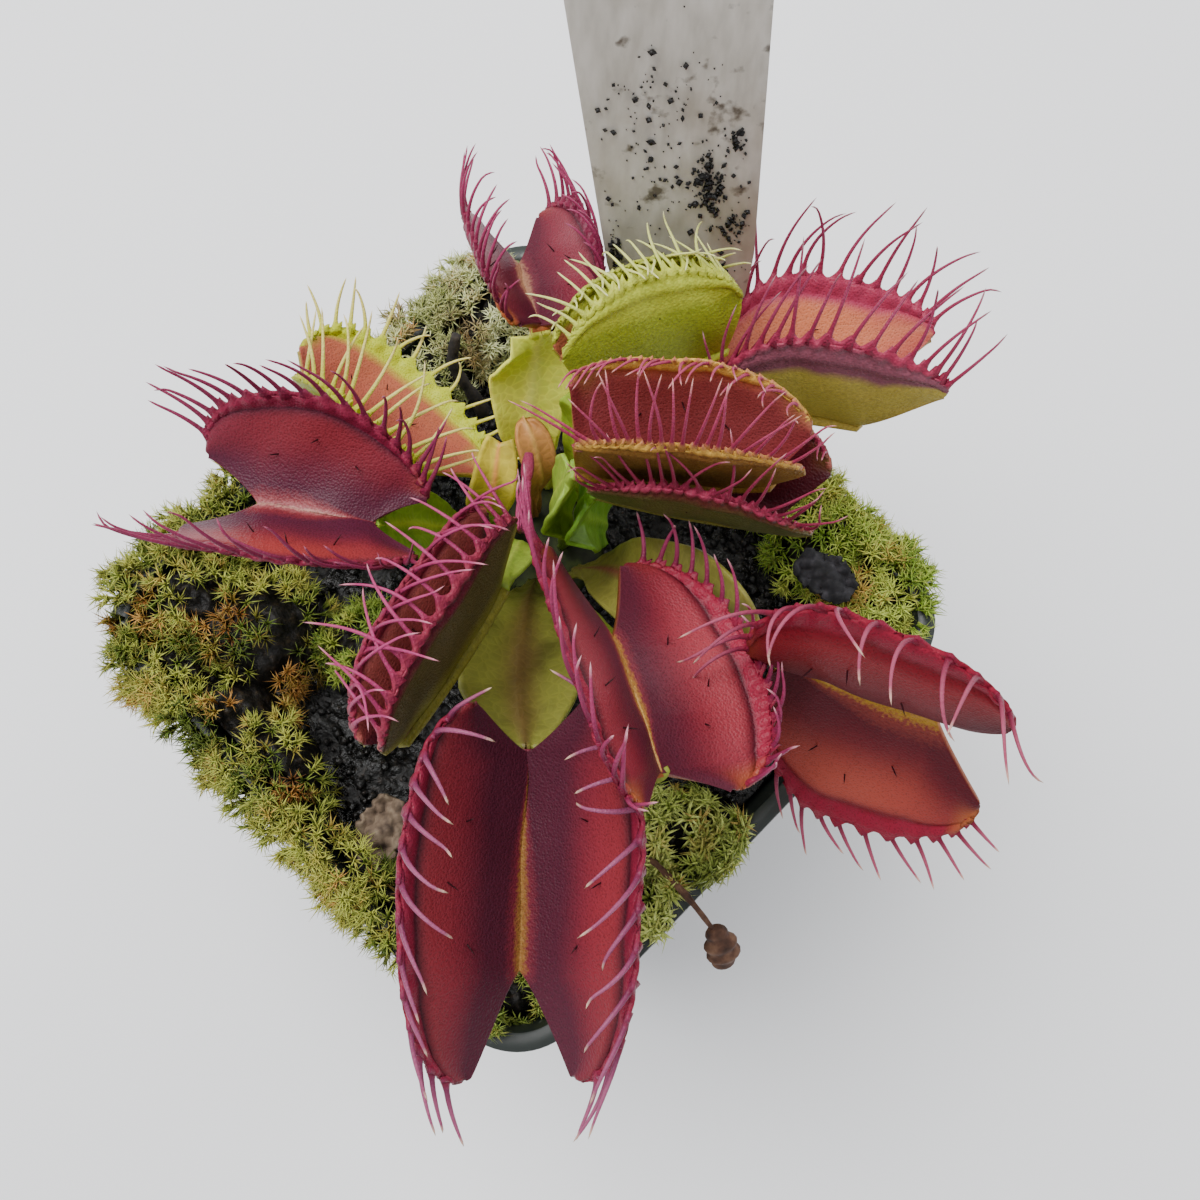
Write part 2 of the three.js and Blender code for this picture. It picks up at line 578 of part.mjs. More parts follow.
// The folded trap of a young leaf: a small pointed bud whose teeth lie together in a tuft.
function makeBud({ root, tip, radius, tuft, teeth }) {
  const [from, to] = [vec(...root), vec(...tip)];
  const path = [0, 0.3, 0.65, 1].map((k) => from.clone().lerp(to, k));
  const body = rod(path, 6, (k) => radius * (0.4 + 0.6 * Math.sin(Math.PI * Math.min(k + 0.18, 1))));
  const along = to.clone().sub(from).normalize();
  const side = vec(0, 0, 1).cross(along).normalize();
  const up = along.clone().cross(side);
  const spikes = Array.from({ length: teeth }, (_, n) => {
    const angle = (2 * Math.PI * n) / teeth;
    const out = side.clone().multiplyScalar(Math.cos(angle)).addScaledVector(up, Math.sin(angle));
    const start = from.clone().lerp(to, 0.75).addScaledVector(out, radius * 0.3);
    const bend = to.clone().addScaledVector(along, tuft * 0.4).addScaledVector(out, radius * 0.8);
    const end = to.clone().addScaledVector(along, tuft).addScaledVector(out, radius * 0.5);
    return spike(start, bend, end, TOOTH.radius);
  });
  return fuse([body, ...spikes]);
}

// ---------------------------------------------------------------- moss
// A moss cushion: low domes run together, with star-shaped shoots standing out of them.
// Each dome is its centre, its half widths and its height over the peat.
const MOSS = {
  left: {
    color: 0x8a9a3c,
    domes: [
      [-42, 3, 8, 7, 8.5], [-37, 13, 6, 6, 8], [-34, -1, 9, 8, 7.5], [-36, -12, 7, 7, 8],
      [-30, -18, 6, 7, 8], [-25.5, -27, 5, 5.5, 8], [-16, -35, 6, 5, 7.5],
    ],
  },
  inner: { color: 0x7f9f35, domes: [[-20, -2, 5, 4.5, 4]] },
  front: { color: 0x7f9f35, domes: [[-1, -43, 5, 4, 5]] },
  front_right: { color: 0x93a544, domes: [[18, -26, 7, 5, 6.5], [11, -33, 6, 5, 6]] },
  right: { color: 0x95ad38, domes: [[42, 3, 6, 7, 7], [37, 11, 6, 6, 8], [31, 18, 5, 4, 7]] },
  back: { color: 0x8ba24a, domes: [[-6, 41, 6, 6, 8], [-13, 35, 6, 5, 7.5]] },
};
const SHOOT = { sides: 10, height: 2.2 };

// A dome of moss: rings of points whose every second point is drawn out into a shoot.
function makeDome([x, y, rx, ry, height], random) {
  const profile = [
    [0.9, 0, 0], [1, 0.3, 0], [0.9, 0.68, 1], [0.62, 0.88, 1], [0.3, 0.97, 1], [0.04, 1, 0],
  ];
  return lofted(profile.map(([r, h, shoots], ring) => Array.from({ length: SHOOT.sides }, (_, n) => {
    const angle = (2 * Math.PI * n) / SHOOT.sides;
    const out = shoots && (n + ring) % 2 === 0 ? SHOOT.height * (0.6 + 0.6 * random()) : 0;
    const spread = r + (out * 0.5 * r) / rx;
    return vec(
      x + rx * spread * Math.cos(angle),
      y + ry * spread * Math.sin(angle),
      SOIL_TOP + CLEAR + h * height + out,
    );
  })));
}

// The cushions lie on the peat and swell over the pot's rim, a little clear of both.
function makeMoss(domes, seed, cuts) {
  const random = randomFrom(seed);
  const grown = toPot(fuse(domes.map((dome) => makeDome(dome, random))));
  const bank = new THREE.BoxGeometry(POT.rim * 2, POT.rim * 2, 40);
  bank.translate(0, 0, POT.height + CLEAR - 20);
  const keepOut = solid(bank).subtract(solid(insidePot(30, POT.height + 2)));
  return mainBody(cuts.reduce((body, cut) => body.subtract(cut), grown.subtract(keepOut)));
}

// ---------------------------------------------------------------- label and withered scraps
// A bare plastic plant label, a slim stake that tapers all the way and ends in a point.
const LABEL = {
  foot: [21.8, 20.9, 58], lean: [-2.6, 8, 29.7], length: 92,
  top: 19, shoulder: 15.6, shoulderAt: 47, point: 2, thick: 0.8, corner: 2,
};

function makeLabel(grow) {
  const { length, top, shoulder, shoulderAt, point, corner } = LABEL;
  const shape = new THREE.Shape();
  shape.moveTo(-point / 2 - grow, -grow);
  shape.lineTo(point / 2 + grow, -grow);
  shape.lineTo(shoulder / 2 + grow, shoulderAt);
  shape.lineTo(top / 2 + grow, length - corner);
  shape.quadraticCurveTo(top / 2 + grow, length, top / 2 - corner, length);
  shape.lineTo(corner - top / 2, length);
  shape.quadraticCurveTo(-top / 2 - grow, length, -top / 2 - grow, length - corner);
  shape.lineTo(-shoulder / 2 - grow, shoulderAt);
  const depth = LABEL.thick + 2 * grow;
  const plate = new THREE.ExtrudeGeometry(shape, { depth, bevelEnabled: false, curveSegments: 4 });
  plate.translate(0, 0, -depth / 2);
  const up = vec(...LABEL.lean).normalize();
  const side = vec(1, 0, 0).addScaledVector(up, -up.x).normalize();
  const face = side.clone().cross(up);
  plate.applyMatrix4(new THREE.Matrix4().makeBasis(side, up, face));
  plate.translate(...LABEL.foot);
  return plate;
}

// A dried leaf: a small blade that has curled and crumpled.
function makeDryLeaf([x, y, z], length, width, turn, tilt) {
  const [c, s] = [Math.cos(rad(turn)), Math.sin(rad(turn))];
  return blade(7, 5, (i, j) => {
    const a = (i / 6 - 0.5) * length;
    const b = (j / 4 - 0.5) * width * (1 - 0.5 * Math.abs(i / 3 - 1) ** 2);
    const crumple = 0.5 * Math.sin(a * 1.3 + 1) + 0.45 * Math.cos(b * 1.9 + a * 0.6) + tilt * b;
    return vec(x + a * c - b * s, y + a * s + b * c, z + crumple);
  }, () => 0.35);
}

// A dead stalk: a thin crooked rod, which may still hold its shrivelled trap.
const DEAD_BACK = [[-5.5, 28, 64], [-6.5, 29.5, 72], [-9, 32, 78.5], [-8.2, 34, 83]];
const DEAD_FRONT = [[13.5, -27, 65], [16, -29.5, 76.6], [19.5, -33.4, 78.6], [22.3, -36.8, 77.2]];
const DEAD_HEAD = [[22.3, -36.6, 77.4], [23, -38, 75.8], [23.6, -39.6, 73.6], [23.4, -40.6, 72]];
const DEAD_RADIUS = { back: 1.1, front: 0.55, head: 1.9 };

function makeDeadStalk(path, radius, grow) {
  const points = path.map((p) => vec(...p));
  const down = points[0].clone().sub(points[1]).normalize();
  points[0].addScaledVector(down, grow);
  return solid(rod(points, 6, (k) => radius * (1 - 0.35 * k) + grow));
}

function makeDeadHead() {
  const path = DEAD_HEAD.map((p) => vec(...p));
  const girth = (k) => 0.35 + 0.65 * Math.sin(Math.PI * mix(0.12, 0.88, k));
  return solid(rod(path, 6, (k) => DEAD_RADIUS.head * girth(k)));
}

// ---------------------------------------------------------------- putting it together
const model = new THREE.Group();
const plant = new THREE.Group();
plant.rotation.z = rad(PLANT_TURN);
model.add(plant);

function place(group, name, geometry, color, roughness = 0.6) {
  const material = new THREE.MeshStandardMaterial({ color, roughness, metalness: 0 });
  const mesh = new THREE.Mesh(geometry, material);
  mesh.name = name;
  group.add(mesh);
  return mesh;
}

// From the plant's frame to the pot's, for what the plant leaves in the peat.
function toPot(body) {
  const geometry = geometryOf(body);
  geometry.rotateZ(rad(PLANT_TURN));
  return solid(geometry);
}

// The young leaves stand on the inner part of the crown.
const YOUNG = {
  heart: {
    leaf: {
      path: [[-0.6, 12.5, 71.8], [-3, 11, 84], [-2.8, 9, 94], [-1.8, 10, 98.5], [-1.2, 13, 100.5]],
      width: 5, turn: 0, ears: 0.8,
    },
    bud: { root: [1.8, 12.2, 99.6], tip: [1.5, 7.8, 100], radius: 0.9, tuft: 5, teeth: 5 },
  },
  tan: {
    leaf: {
      path: [[1, 14.6, 71.8], [1.5, 15, 80], [2.2, 15, 86], [1.6, 17.5, 89.5], [0.4, 20, 90.5]],
      width: 4.2, turn: 35, ears: -0.8,
    },
  },
};
const youngLeaves = {};
Object.entries(YOUNG).forEach(([name, { leaf, bud }]) => {
  youngLeaves[`young_leaf_${name}`] = solid(makeYoungLeaf(leaf));
  if (bud) youngLeaves[`young_bud_${name}`] = makeBud(bud);
});

const YOUNG_COLORS = {
  young_leaf_heart: 0xc9b43a, young_bud_heart: 0xa8466a, young_leaf_tan: 0xb9814a,
};

const axesOf = {};
const stalks = {};
const lobes = {};
Object.entries(LEAVES).forEach(([name, leaf]) => {
  axesOf[name] = trapAxes(leaf);
  stalks[name] = solid(makeStalk(leaf, axesOf[name]));
  lobes[name] = fuse([
    makeLobe(leaf, axesOf[name], 1), makeLobe(leaf, axesOf[name], -1), makeMidrib(leaf, axesOf[name]),
  ]);
});

const obstacles = [...Object.values(stalks), ...Object.values(youngLeaves), solid(makeLabel(0))];
const traps = { ...lobes };
Object.entries(LEAVES).forEach(([name, leaf]) => {
  const others = Object.keys(LEAVES).filter((other) => other !== name).map((other) => traps[other]);
  traps[name] = addTeeth(leaf, axesOf[name], lobes[name], [...others, ...obstacles]);
});

Object.entries(LEAVES).forEach(([name, leaf]) => {
  place(plant, `stalk_${name}`, geometryOf(stalks[name]), leaf.green, 0.5);
  place(plant, `trap_${name}`, geometryOf(traps[name]), leaf.color, 0.45);
});

Object.entries(youngLeaves).forEach(([name, body]) => {
  place(plant, name, geometryOf(body), YOUNG_COLORS[name], 0.5);
});

place(plant, 'label', geometryOf(solid(makeLabel(0))), 0xe4e3de, 0.45);
place(plant, 'dry_leaf', makeDryLeaf([-17, -25.5, 71.8], 9, 5.5, 70, 0.05), 0x6b5a4a, 0.85);
place(plant, 'black_scrap', makeDryLeaf([36, 4, 80.5], 7.5, 5, -35, 0.1), 0x2b2a2c, 0.8);
const deadBack = (grow) => makeDeadStalk(DEAD_BACK, DEAD_RADIUS.back, grow);
const deadFront = (grow) => makeDeadStalk(DEAD_FRONT, DEAD_RADIUS.front, grow);
place(plant, 'dead_stalk_back', geometryOf(deadBack(0)), 0x2a2522, 0.85);
place(plant, 'dead_stalk_front', geometryOf(deadFront(0).add(makeDeadHead())), 0x3a2c26, 0.85);

const stems = [solid(makeLabel(CLEAR)), deadBack(CLEAR), deadFront(CLEAR)].map(toPot);
const hollows = [toPot(makeCrown(CLEAR)), ...stems];
place(model, 'pot', geometryOf(makePot()), 0x3c443f, 0.5);
Object.entries(MOSS).forEach(([name, moss], n) => {
  place(model, `moss_${name}`, geometryOf(makeMoss(moss.domes, 11 + n, stems)), moss.color, 0.9);
});
place(plant, 'crown', geometryOf(makeCrown(0)), 0x8a9a4a, 0.7);
place(model, 'peat', geometryOf(makePeat(hollows)), 0x1c1a19, 0.95);

export default model;
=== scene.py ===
import bpy
import numpy as np
from mathutils import Matrix


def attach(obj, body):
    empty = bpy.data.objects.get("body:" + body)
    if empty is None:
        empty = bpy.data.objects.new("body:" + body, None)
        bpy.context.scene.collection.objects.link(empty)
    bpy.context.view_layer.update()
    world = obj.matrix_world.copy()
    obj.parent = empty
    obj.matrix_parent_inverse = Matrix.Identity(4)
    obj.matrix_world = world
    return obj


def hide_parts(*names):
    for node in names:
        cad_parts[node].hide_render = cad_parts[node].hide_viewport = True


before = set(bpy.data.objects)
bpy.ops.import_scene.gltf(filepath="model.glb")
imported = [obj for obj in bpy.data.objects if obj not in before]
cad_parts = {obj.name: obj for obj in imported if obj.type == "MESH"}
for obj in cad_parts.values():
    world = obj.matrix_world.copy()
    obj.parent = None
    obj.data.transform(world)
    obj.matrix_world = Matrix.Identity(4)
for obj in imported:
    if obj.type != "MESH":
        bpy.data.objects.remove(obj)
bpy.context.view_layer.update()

# ------------------------------------------------------------------ the pot
# A square nursery pot, injection-moulded in dark grey-green polypropylene: thin tapering walls
# with rounded corners, a stepped band that stiffens the rim, and four drain holes in the floor.
MM = 0.001
COLOURS = {"data_type": "RGBA"}
POT_RIM, POT_BASE, POT_HEIGHT = 76.0, 56.0, 76.0
POT_WALL, POT_FLOOR, POT_CORNER, BASE_CORNER = 1.2, 1.6, 9.0, 6.0
POT_BAND, POT_LIP = 12.0, 1.1
DRAIN_RADIUS, DRAIN_AT = 4.0, 16.0


def linear(hex_value):
    """A colour as linear RGBA: each sRGB channel goes back through the sRGB curve."""
    channels = np.array([(hex_value >> shift) & 255 for shift in (16, 8, 0)]) / 255
    curve = np.where(channels <= 0.04045, channels / 12.92, ((channels + 0.055) / 1.055) ** 2.4)
    return (*curve, 1.0)


def plug(node, *inputs, **named):
    """Fills a node's open sockets, the inputs in their order and the named ones by name, with _
    for a space: each from a node's first output, from an output, or with a value."""
    sockets = [socket for socket in node.inputs if socket.enabled]
    for name, value in [*enumerate(inputs), *named.items()]:
        socket = sockets[name] if isinstance(name, int) else next(
            socket for socket in sockets if socket.name == name.replace("_", " "))
        if isinstance(value, bpy.types.Node):
            value = next(output for output in value.outputs if output.enabled)
        if isinstance(value, bpy.types.NodeSocket):
            node.id_data.links.new(value, socket)
        else:
            socket.default_value = value


def add_node(material, kind, *inputs, stops=(), **settings):
    """One shader node with its settings, links and colour stops. A setting with a capital is a
    socket."""
    made = material.node_tree.nodes.new("ShaderNode" + kind)
    named = {key: settings.pop(key) for key in list(settings) if key[0].isupper()}
    for key, value in settings.items():
        setattr(made, key, value)
    plug(made, *inputs, **named)
    if stops:
        elements = made.color_ramp.elements
        while len(elements) < len(stops):
            elements.new(0.5)
        for element, (place, hex_value) in zip(elements, sorted(stops)):
            element.position = place
            element.color = linear(hex_value)
    return made


def new_material(name, **values):
    """A material and its shader, with the values that are the same all over on the shader."""
    material = bpy.data.materials.new(name)
    material.use_nodes = True
    shader = material.node_tree.nodes["Principled BSDF"]
    plug(shader, **values)
    return material, shader


def add_piece(name, vertices, faces, material, attributes=None, crease=None):
    """A smooth-shaded piece from vertices in mm and triangles. attributes: name -> a value a
    vertex. crease: edges sharper than this angle in degrees stay sharp."""
    mesh = bpy.data.meshes.new(name)
    mesh.vertices.add(len(vertices))
    mesh.vertices.foreach_set("co", (np.asarray(vertices, float) * MM).ravel())
    mesh.loops.add(faces.size)
    mesh.loops.foreach_set("vertex_index", faces.ravel().astype(np.int32))
    mesh.polygons.add(len(faces))
    mesh.polygons.foreach_set("loop_start", np.arange(0, faces.size, 3, dtype=np.int32))
    mesh.polygons.foreach_set("use_smooth", np.ones(len(faces), bool))
    for key, value in (attributes or {}).items():
        mesh.attributes.new(key, "FLOAT", "POINT").data.foreach_set("value", value.ravel())
    mesh.update(calc_edges=True)
    mesh.validate()
    if crease:
        mesh.set_sharp_from_angle(angle=np.radians(crease))
    mesh.materials.append(material)
    piece = bpy.data.objects.new(name, mesh)
    bpy.context.scene.collection.objects.link(piece)
    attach(piece, "root")
    return piece


def cells(rows, columns, closed=True):
    """Two triangles for each cell of a grid of points, whose rows close in rings or stay open."""
    row, column = (part.ravel() for part in np.meshgrid(
        np.arange(rows - 1), np.arange(columns if closed else columns - 1), indexing="ij"))
    a, b = row * columns + column, row * columns + (column + 1) % columns
    return np.concatenate([np.stack([a, b, b + columns], 1),
                           np.stack([a, b + columns, a + columns], 1)])


def ring_grid(rings):
    """A closed body from rings of points (ring, turn, xyz): walls between the rings and a fan
    to the middle of each end ring."""
    count, turns = rings.shape[:2]
    here, after = np.arange(turns), (np.arange(turns) + 1) % turns
    top, first = (count - 1) * turns, count * turns
    low = np.stack([0 * here + first, after, here], 1)
    high = np.stack([0 * here + first + 1, top + here, top + after], 1)
    ends = np.stack([rings[0].mean(0), rings[-1].mean(0)])
    return (np.concatenate([rings.reshape(-1, 3), ends]),
            np.concatenate([cells(count, turns), low, high]))


def join(*parts):
    """Several (points, faces) in one, with the faces counted on."""
    starts = np.cumsum([0] + [len(points) for points, _ in parts[:-1]])
    points = np.concatenate([points for points, _ in parts])
    return points, np.concatenate([faces + start for start, (_, faces) in zip(starts, parts)])


def square_ring(half, corner, z, steps=16, sides=10):
    """A rounded square at each height: quarter rounds of the corner radius joined by straight
    sides. half, corner and z are arrays with one value a ring."""
    half, corner, z = (np.asarray(value, float)[:, None] for value in (half, corner, z))
    corners = []
    for start, sx, sy in ((0, 1, 1), (90, -1, 1), (180, -1, -1), (270, 1, -1)):
        turn = np.radians(start + np.linspace(0, 90, steps + 1))[None, :]
        x = sx * (half - corner) + corner * np.cos(turn)
        y = sy * (half - corner) + corner * np.sin(turn)
        corners.append(np.stack([x, y, z + 0 * x], 2))
    parts = []
    share = np.linspace(0, 1, sides + 1)[1:-1][None, :, None]
    for here, after in zip(corners, corners[1:] + corners[:1]):
        parts += [here, here[:, -1:] * (1 - share) + after[:, :1] * share]
    return np.concatenate(parts, 1)


def pot_half(z):
    """Half the pot's outside width at a height: a straight taper from base to rim."""
    return POT_BASE / 2 + (POT_RIM / 2 - POT_LIP - POT_BASE / 2) * z / POT_HEIGHT


def pot_round(z):
    """The corner radius at a height."""
    return BASE_CORNER + (POT_CORNER - POT_LIP - BASE_CORNER) * z / POT_HEIGHT


def make_pot():
    """Rings run up the outside, over the rounded rim and down the inside, and both ends close
    in the floor. Each is a height and how far it stands out from the taper: the band by the
    lip, with rounded edges, and the inside by the wall."""
    top, band = POT_HEIGHT, POT_HEIGHT - POT_BAND
    z, out = np.array([
        (0, -3), (0, -0.6), (0.5, -0.12), (1.4, 0), (20, 0), (45, 0), (band - 0.6, 0),
        (band - 0.15, 0.12), (band + 0.5, POT_LIP * 0.8), (band + 1.1, POT_LIP),
        (top - 6, POT_LIP), (top - 0.7, POT_LIP), (top - 0.2, POT_LIP - 0.15),
        (top, POT_LIP - 0.5), (top, -0.75), (top - 0.2, -1.08), (top - 0.8, -POT_WALL),
        (60, -POT_WALL), (30, -POT_WALL), (POT_FLOOR + 1, -POT_WALL),
        (POT_FLOOR, -POT_WALL - 1)]).T
    return ring_grid(square_ring(pot_half(z) + out, np.maximum(pot_round(z) + out, 2), z))


def make_drains():
    """Four round posts that stand through the floor, to cut its holes."""
    turn, posts = np.linspace(0, 2 * np.pi, 49)[:-1], []
    for x, y in ((1, 1), (-1, 1), (-1, -1), (1, -1)):
        circle = [x * DRAIN_AT + DRAIN_RADIUS * np.cos(turn),
                  y * DRAIN_AT + DRAIN_RADIUS * np.sin(turn)]
        posts.append(ring_grid(np.stack([np.stack([*circle, 0 * turn + z], 1)
                                         for z in (-2.0, POT_FLOOR + 2.4)])))
    return join(*posts)


# Polypropylene, moulded: a satin skin with a faint orange peel, clouds some 17 mm wide, and
# dried splashes of peat water about a millimetre across.
pot_plastic, pot_shader = new_material("moulded_polypropylene", Roughness=0.42, IOR=1.49)
place = add_node(pot_plastic, "TexCoord").outputs["Object"]
cloud = add_node(pot_plastic, "TexNoise", place, 60, 6)
grime = add_node(pot_plastic, "TexNoise", place, 900, 4)
tone = add_node(pot_plastic, "ValToRGB", cloud,
                stops=[(0.3, 0x1C211E), (0.55, 0x262C28), (0.75, 0x343C37)])
specks = add_node(pot_plastic, "ValToRGB", grime,
                  stops=[(0.0, 0x000000), (0.64, 0x000000), (0.72, 0xFFFFFF)])
dusty = add_node(pot_plastic, "Mix", specks, tone, linear(0x5C6058), **COLOURS)
peel = add_node(pot_plastic, "Bump", Strength=0.15, Distance=0.2 * MM, Height=grime)
plug(pot_shader, Base_Color=dusty, Normal=peel)

pot = add_piece("pot_shell", *make_pot(), pot_plastic, crease=40)
drains = bpy.data.objects.new("drains", bpy.data.meshes.new("drains"))
points, faces = make_drains()
drains.data.from_pydata(points * MM, [], faces.tolist())
bpy.context.scene.collection.objects.link(drains)
drilling = pot.modifiers.new("drain_holes", "BOOLEAN")
drilling.object = drains
drilling.operation = "DIFFERENCE"
drilled = bpy.data.meshes.new_from_object(pot.evaluated_get(bpy.context.evaluated_depsgraph_get()))
pot.modifiers.remove(drilling)
pot.data = drilled
bpy.data.objects.remove(drains)
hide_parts("pot")

# ------------------------------------------------------------------ the peat
# Damp milled peat with a little fine bark: a black crumbly bed that fills the pot to a few
# millimetres under its rim, with loose crumbs and root fibres on top.
SOIL_TOP, SOIL_DIP, SOIL_EDGE, CLEAR = 70.0, 1.6, 67.0, 0.3
PEAT_FOOT_CORNER, PEAT_CORNER, PEAT_RINGS = 4.4, 6.2, 120
CRUMBLE = ((0.5, 3.1), (0.45, 1.3), (0.35, 0.7))
CRUMBS, FIBRES, CRUMB_SEED = 4200, 200, 21
FIBRE_RADIUS, LATTICE = 0.09, 256


def lattice_noise(x, y, size, seed):
    """Smooth noise from -1 to 1: random heights on a square lattice, blended by a cubic."""
    heights = np.random.default_rng(seed).uniform(-1, 1, (LATTICE, LATTICE))
    u, v = x / size + 2 * LATTICE, y / size + 2 * LATTICE
    i, j = np.floor(u).astype(int), np.floor(v).astype(int)
    fu, fv = u - i, v - j
    fu, fv = fu * fu * (3 - 2 * fu), fv * fv * (3 - 2 * fv)
    i, j, next_i, next_j = (n % LATTICE for n in (i, j, i + 1, j + 1))
    low = heights[i, j] * (1 - fu) + heights[next_i, j] * fu
    high = heights[i, next_j] * (1 - fu) + heights[next_i, next_j] * fu
    return low * (1 - fv) + high * fv


def peat_height(x, y):
    """The bed's surface: low swells from crossing waves, never above the soil's top."""
    swell = np.sin(x * 0.21 + 1.3) * np.cos(y * 0.17 - 0.4) + 0.5 * np.sin(x * 0.43 - y * 0.37)
    return SOIL_TOP - SOIL_DIP * (0.5 - swell / 3)


def make_peat():
    """Rounded-square rings run up the wall and in over the surface, which crumbles by noise of
    three heights and sizes: clods, crumbs and grit."""
    sunk = pot_half(SOIL_EDGE) - POT_WALL - CLEAR
    share = np.linspace(1, 0.004, PEAT_RINGS)
    half = np.concatenate([[pot_half(POT_FLOOR) - POT_WALL - CLEAR, sunk], sunk * share])
    corner = np.concatenate([[PEAT_FOOT_CORNER, PEAT_CORNER], PEAT_CORNER * share])
    rings = square_ring(half, corner, np.full(len(half), SOIL_TOP), 14, 60)
    x, y = rings[2:, :, 0], rings[2:, :, 1]
    crumble = sum(high * lattice_noise(x, y, size, seed)
                  for seed, (high, size) in enumerate(CRUMBLE, 1))
    rings[2:, :, 2] = peat_height(x, y) - 0.4 + crumble
    rings[0, :, 2] = POT_FLOOR + CLEAR
    rings[1, :, 2] = SOIL_EDGE
    return ring_grid(rings)


def strands(paths, side, wide, thick, sides):
    """Tapered strands. Round each path (strand, step, xyz) runs an ellipse, wide along the side
    vector and thick across it, and the last step is the strand's point."""
    along = np.gradient(paths, axis=1)
    along /= np.linalg.norm(along, axis=2, keepdims=True) + 1e-12
    side = np.broadcast_to(side[:, None, :], paths.shape)
    side = side - (side * along).sum(2, keepdims=True) * along
    side /= np.linalg.norm(side, axis=2, keepdims=True) + 1e-12
    up = np.cross(along, side)
    turn = 2 * np.pi * np.arange(sides) / sides
    wide = np.broadcast_to(wide, paths.shape[:2])[:, :-1, None, None]
    thick = np.broadcast_to(thick, paths.shape[:2])[:, :-1, None, None]
    rings = (paths[:, :-1, None] + wide * np.cos(turn)[:, None] * side[:, :-1, None]
             + thick * np.sin(turn)[:, None] * up[:, :-1, None])
    count, steps = rings.shape[:2]
    points = np.concatenate([rings.reshape(count, -1, 3), paths[:, -1:]], 1)
    here, after = np.arange(sides), (np.arange(sides) + 1) % sides
    last, fan = (steps - 1) * sides, np.arange(1, sides - 1)
    faces = np.concatenate([
        cells(steps, sides), np.stack([last + here, last + after, 0 * here + steps * sides], 1),
        np.stack([0 * fan, fan + 1, fan], 1)])
    faces = faces[None] + (np.arange(count) * points.shape[1])[:, None, None]
    return points.reshape(-1, 3), faces.reshape(-1, 3)


def grains(middle, size, chance):
    """Eight-sided grains, each stretched and turned at random."""
    count = len(middle)
    axes = chance.normal(size=(count, 3, 3))
    axes = np.linalg.qr(axes)[0] * chance.uniform(0.6, 1.2, (count, 3, 1)) * size[:, None, None]
    tips = np.concatenate([axes, -axes], 1) + middle[:, None]
    octahedron = np.array([[0, 1, 2], [1, 3, 2], [3, 4, 2], [4, 0, 2],
                           [1, 0, 5], [3, 1, 5], [4, 3, 5], [0, 4, 5]])
    faces = octahedron[None] + 6 * np.arange(count)[:, None, None]
    turned = np.linalg.det(axes) < 0
    faces[turned] = faces[turned][:, :, ::-1]
    return tips.reshape(-1, 3), faces.reshape(-1, 3)


def make_crumbs():
    """Crumbs are grains that lie on the bed, and fibres are thin bent strands."""
    chance = np.random.default_rng(CRUMB_SEED)
    reach = pot_half(SOIL_TOP) - POT_WALL - 2
    spot = chance.uniform(-reach, reach, (CRUMBS, 2))
    size = 0.28 + 0.75 * chance.random(CRUMBS) ** 3
    middle = np.column_stack([spot, peat_height(spot[:, 0], spot[:, 1]) - 0.1 + 0.4 * size])
    crumbs = grains(middle, size, chance)
    spot = chance.uniform(-reach, reach, (FIBRES, 2))
    turn, length = chance.uniform(0, 2 * np.pi, FIBRES), chance.uniform(2, 7, FIBRES)
    step = np.linspace(-0.5, 0.5, 5)[None, :]
    bend = chance.uniform(-0.9, 0.9, FIBRES)[:, None] * step ** 2 * length[:, None]
    x = spot[:, :1] + step * length[:, None] * np.cos(turn)[:, None] - bend * np.sin(turn)[:, None]
    y = spot[:, 1:] + step * length[:, None] * np.sin(turn)[:, None] + bend * np.cos(turn)[:, None]
    x, y = np.clip(x, -reach, reach), np.clip(y, -reach, reach)
    paths = np.stack([x, y, peat_height(x, y) + 0.25 + 0.5 * chance.random((FIBRES, 1))], 2)
    fibres = strands(paths, np.tile([0, 0, 1.0], (FIBRES, 1)), FIBRE_RADIUS, FIBRE_RADIUS, 3)
    return join(crumbs, fibres)


# Damp peat: nearly black, with brown fibre showing through in grains of 0.7 mm, and wet glints
# on clods of 5 mm.
peat_mix, peat_shader = new_material("damp_milled_peat", IOR=1.4)
place = add_node(peat_mix, "TexCoord").outputs["Object"]
grain = add_node(peat_mix, "TexNoise", place, 1400, 8)
clods = add_node(peat_mix, "TexNoise", place, 220, 5)
tone = add_node(peat_mix, "ValToRGB", grain, stops=[
    (0.25, 0x0A0A09), (0.5, 0x131211), (0.62, 0x1E1B19), (0.8, 0x3A3129)])
wet = add_node(peat_mix, "ValToRGB", clods, stops=[(0.42, 0x383838), (0.6, 0xC8C8C8)])
bump = add_node(peat_mix, "Bump", Strength=0.9, Distance=0.5 * MM, Height=grain)
plug(peat_shader, Base_Color=tone, Roughness=wet, Normal=bump)
bed = add_piece("peat_bed", *make_peat(), peat_mix)
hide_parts("peat")
crumbs = add_piece("peat_crumbs", *make_crumbs(), peat_mix)

# ------------------------------------------------------------------ the crown
# The short underground stem that all the leaves stand on: a dark green bulb wrapped in brown
# scale leaves, mostly buried, with three thick roots that run down through the peat.
CROWN = {"x": 2.0, "y": 12.0, "radius": 8.6, "top": 71.0, "depth": 13.0}
ROOTS, ROOT_DEPTH, SCALE_RIDGES = [(-60, 5), (60, 4), (180, 6)], 36, 11
PLANT_TURN = np.radians(-45)


def in_pot(points):
    """From the plant's own frame, which stands at 45 degrees to the pot, to the pot's frame."""
    c, s = np.cos(PLANT_TURN), np.sin(PLANT_TURN)
    points = np.asarray(points, float)
    x, y = points[..., 0], points[..., 1]
    return np.stack([c * x - s * y, s * x + c * y, points[..., 2]], -1)


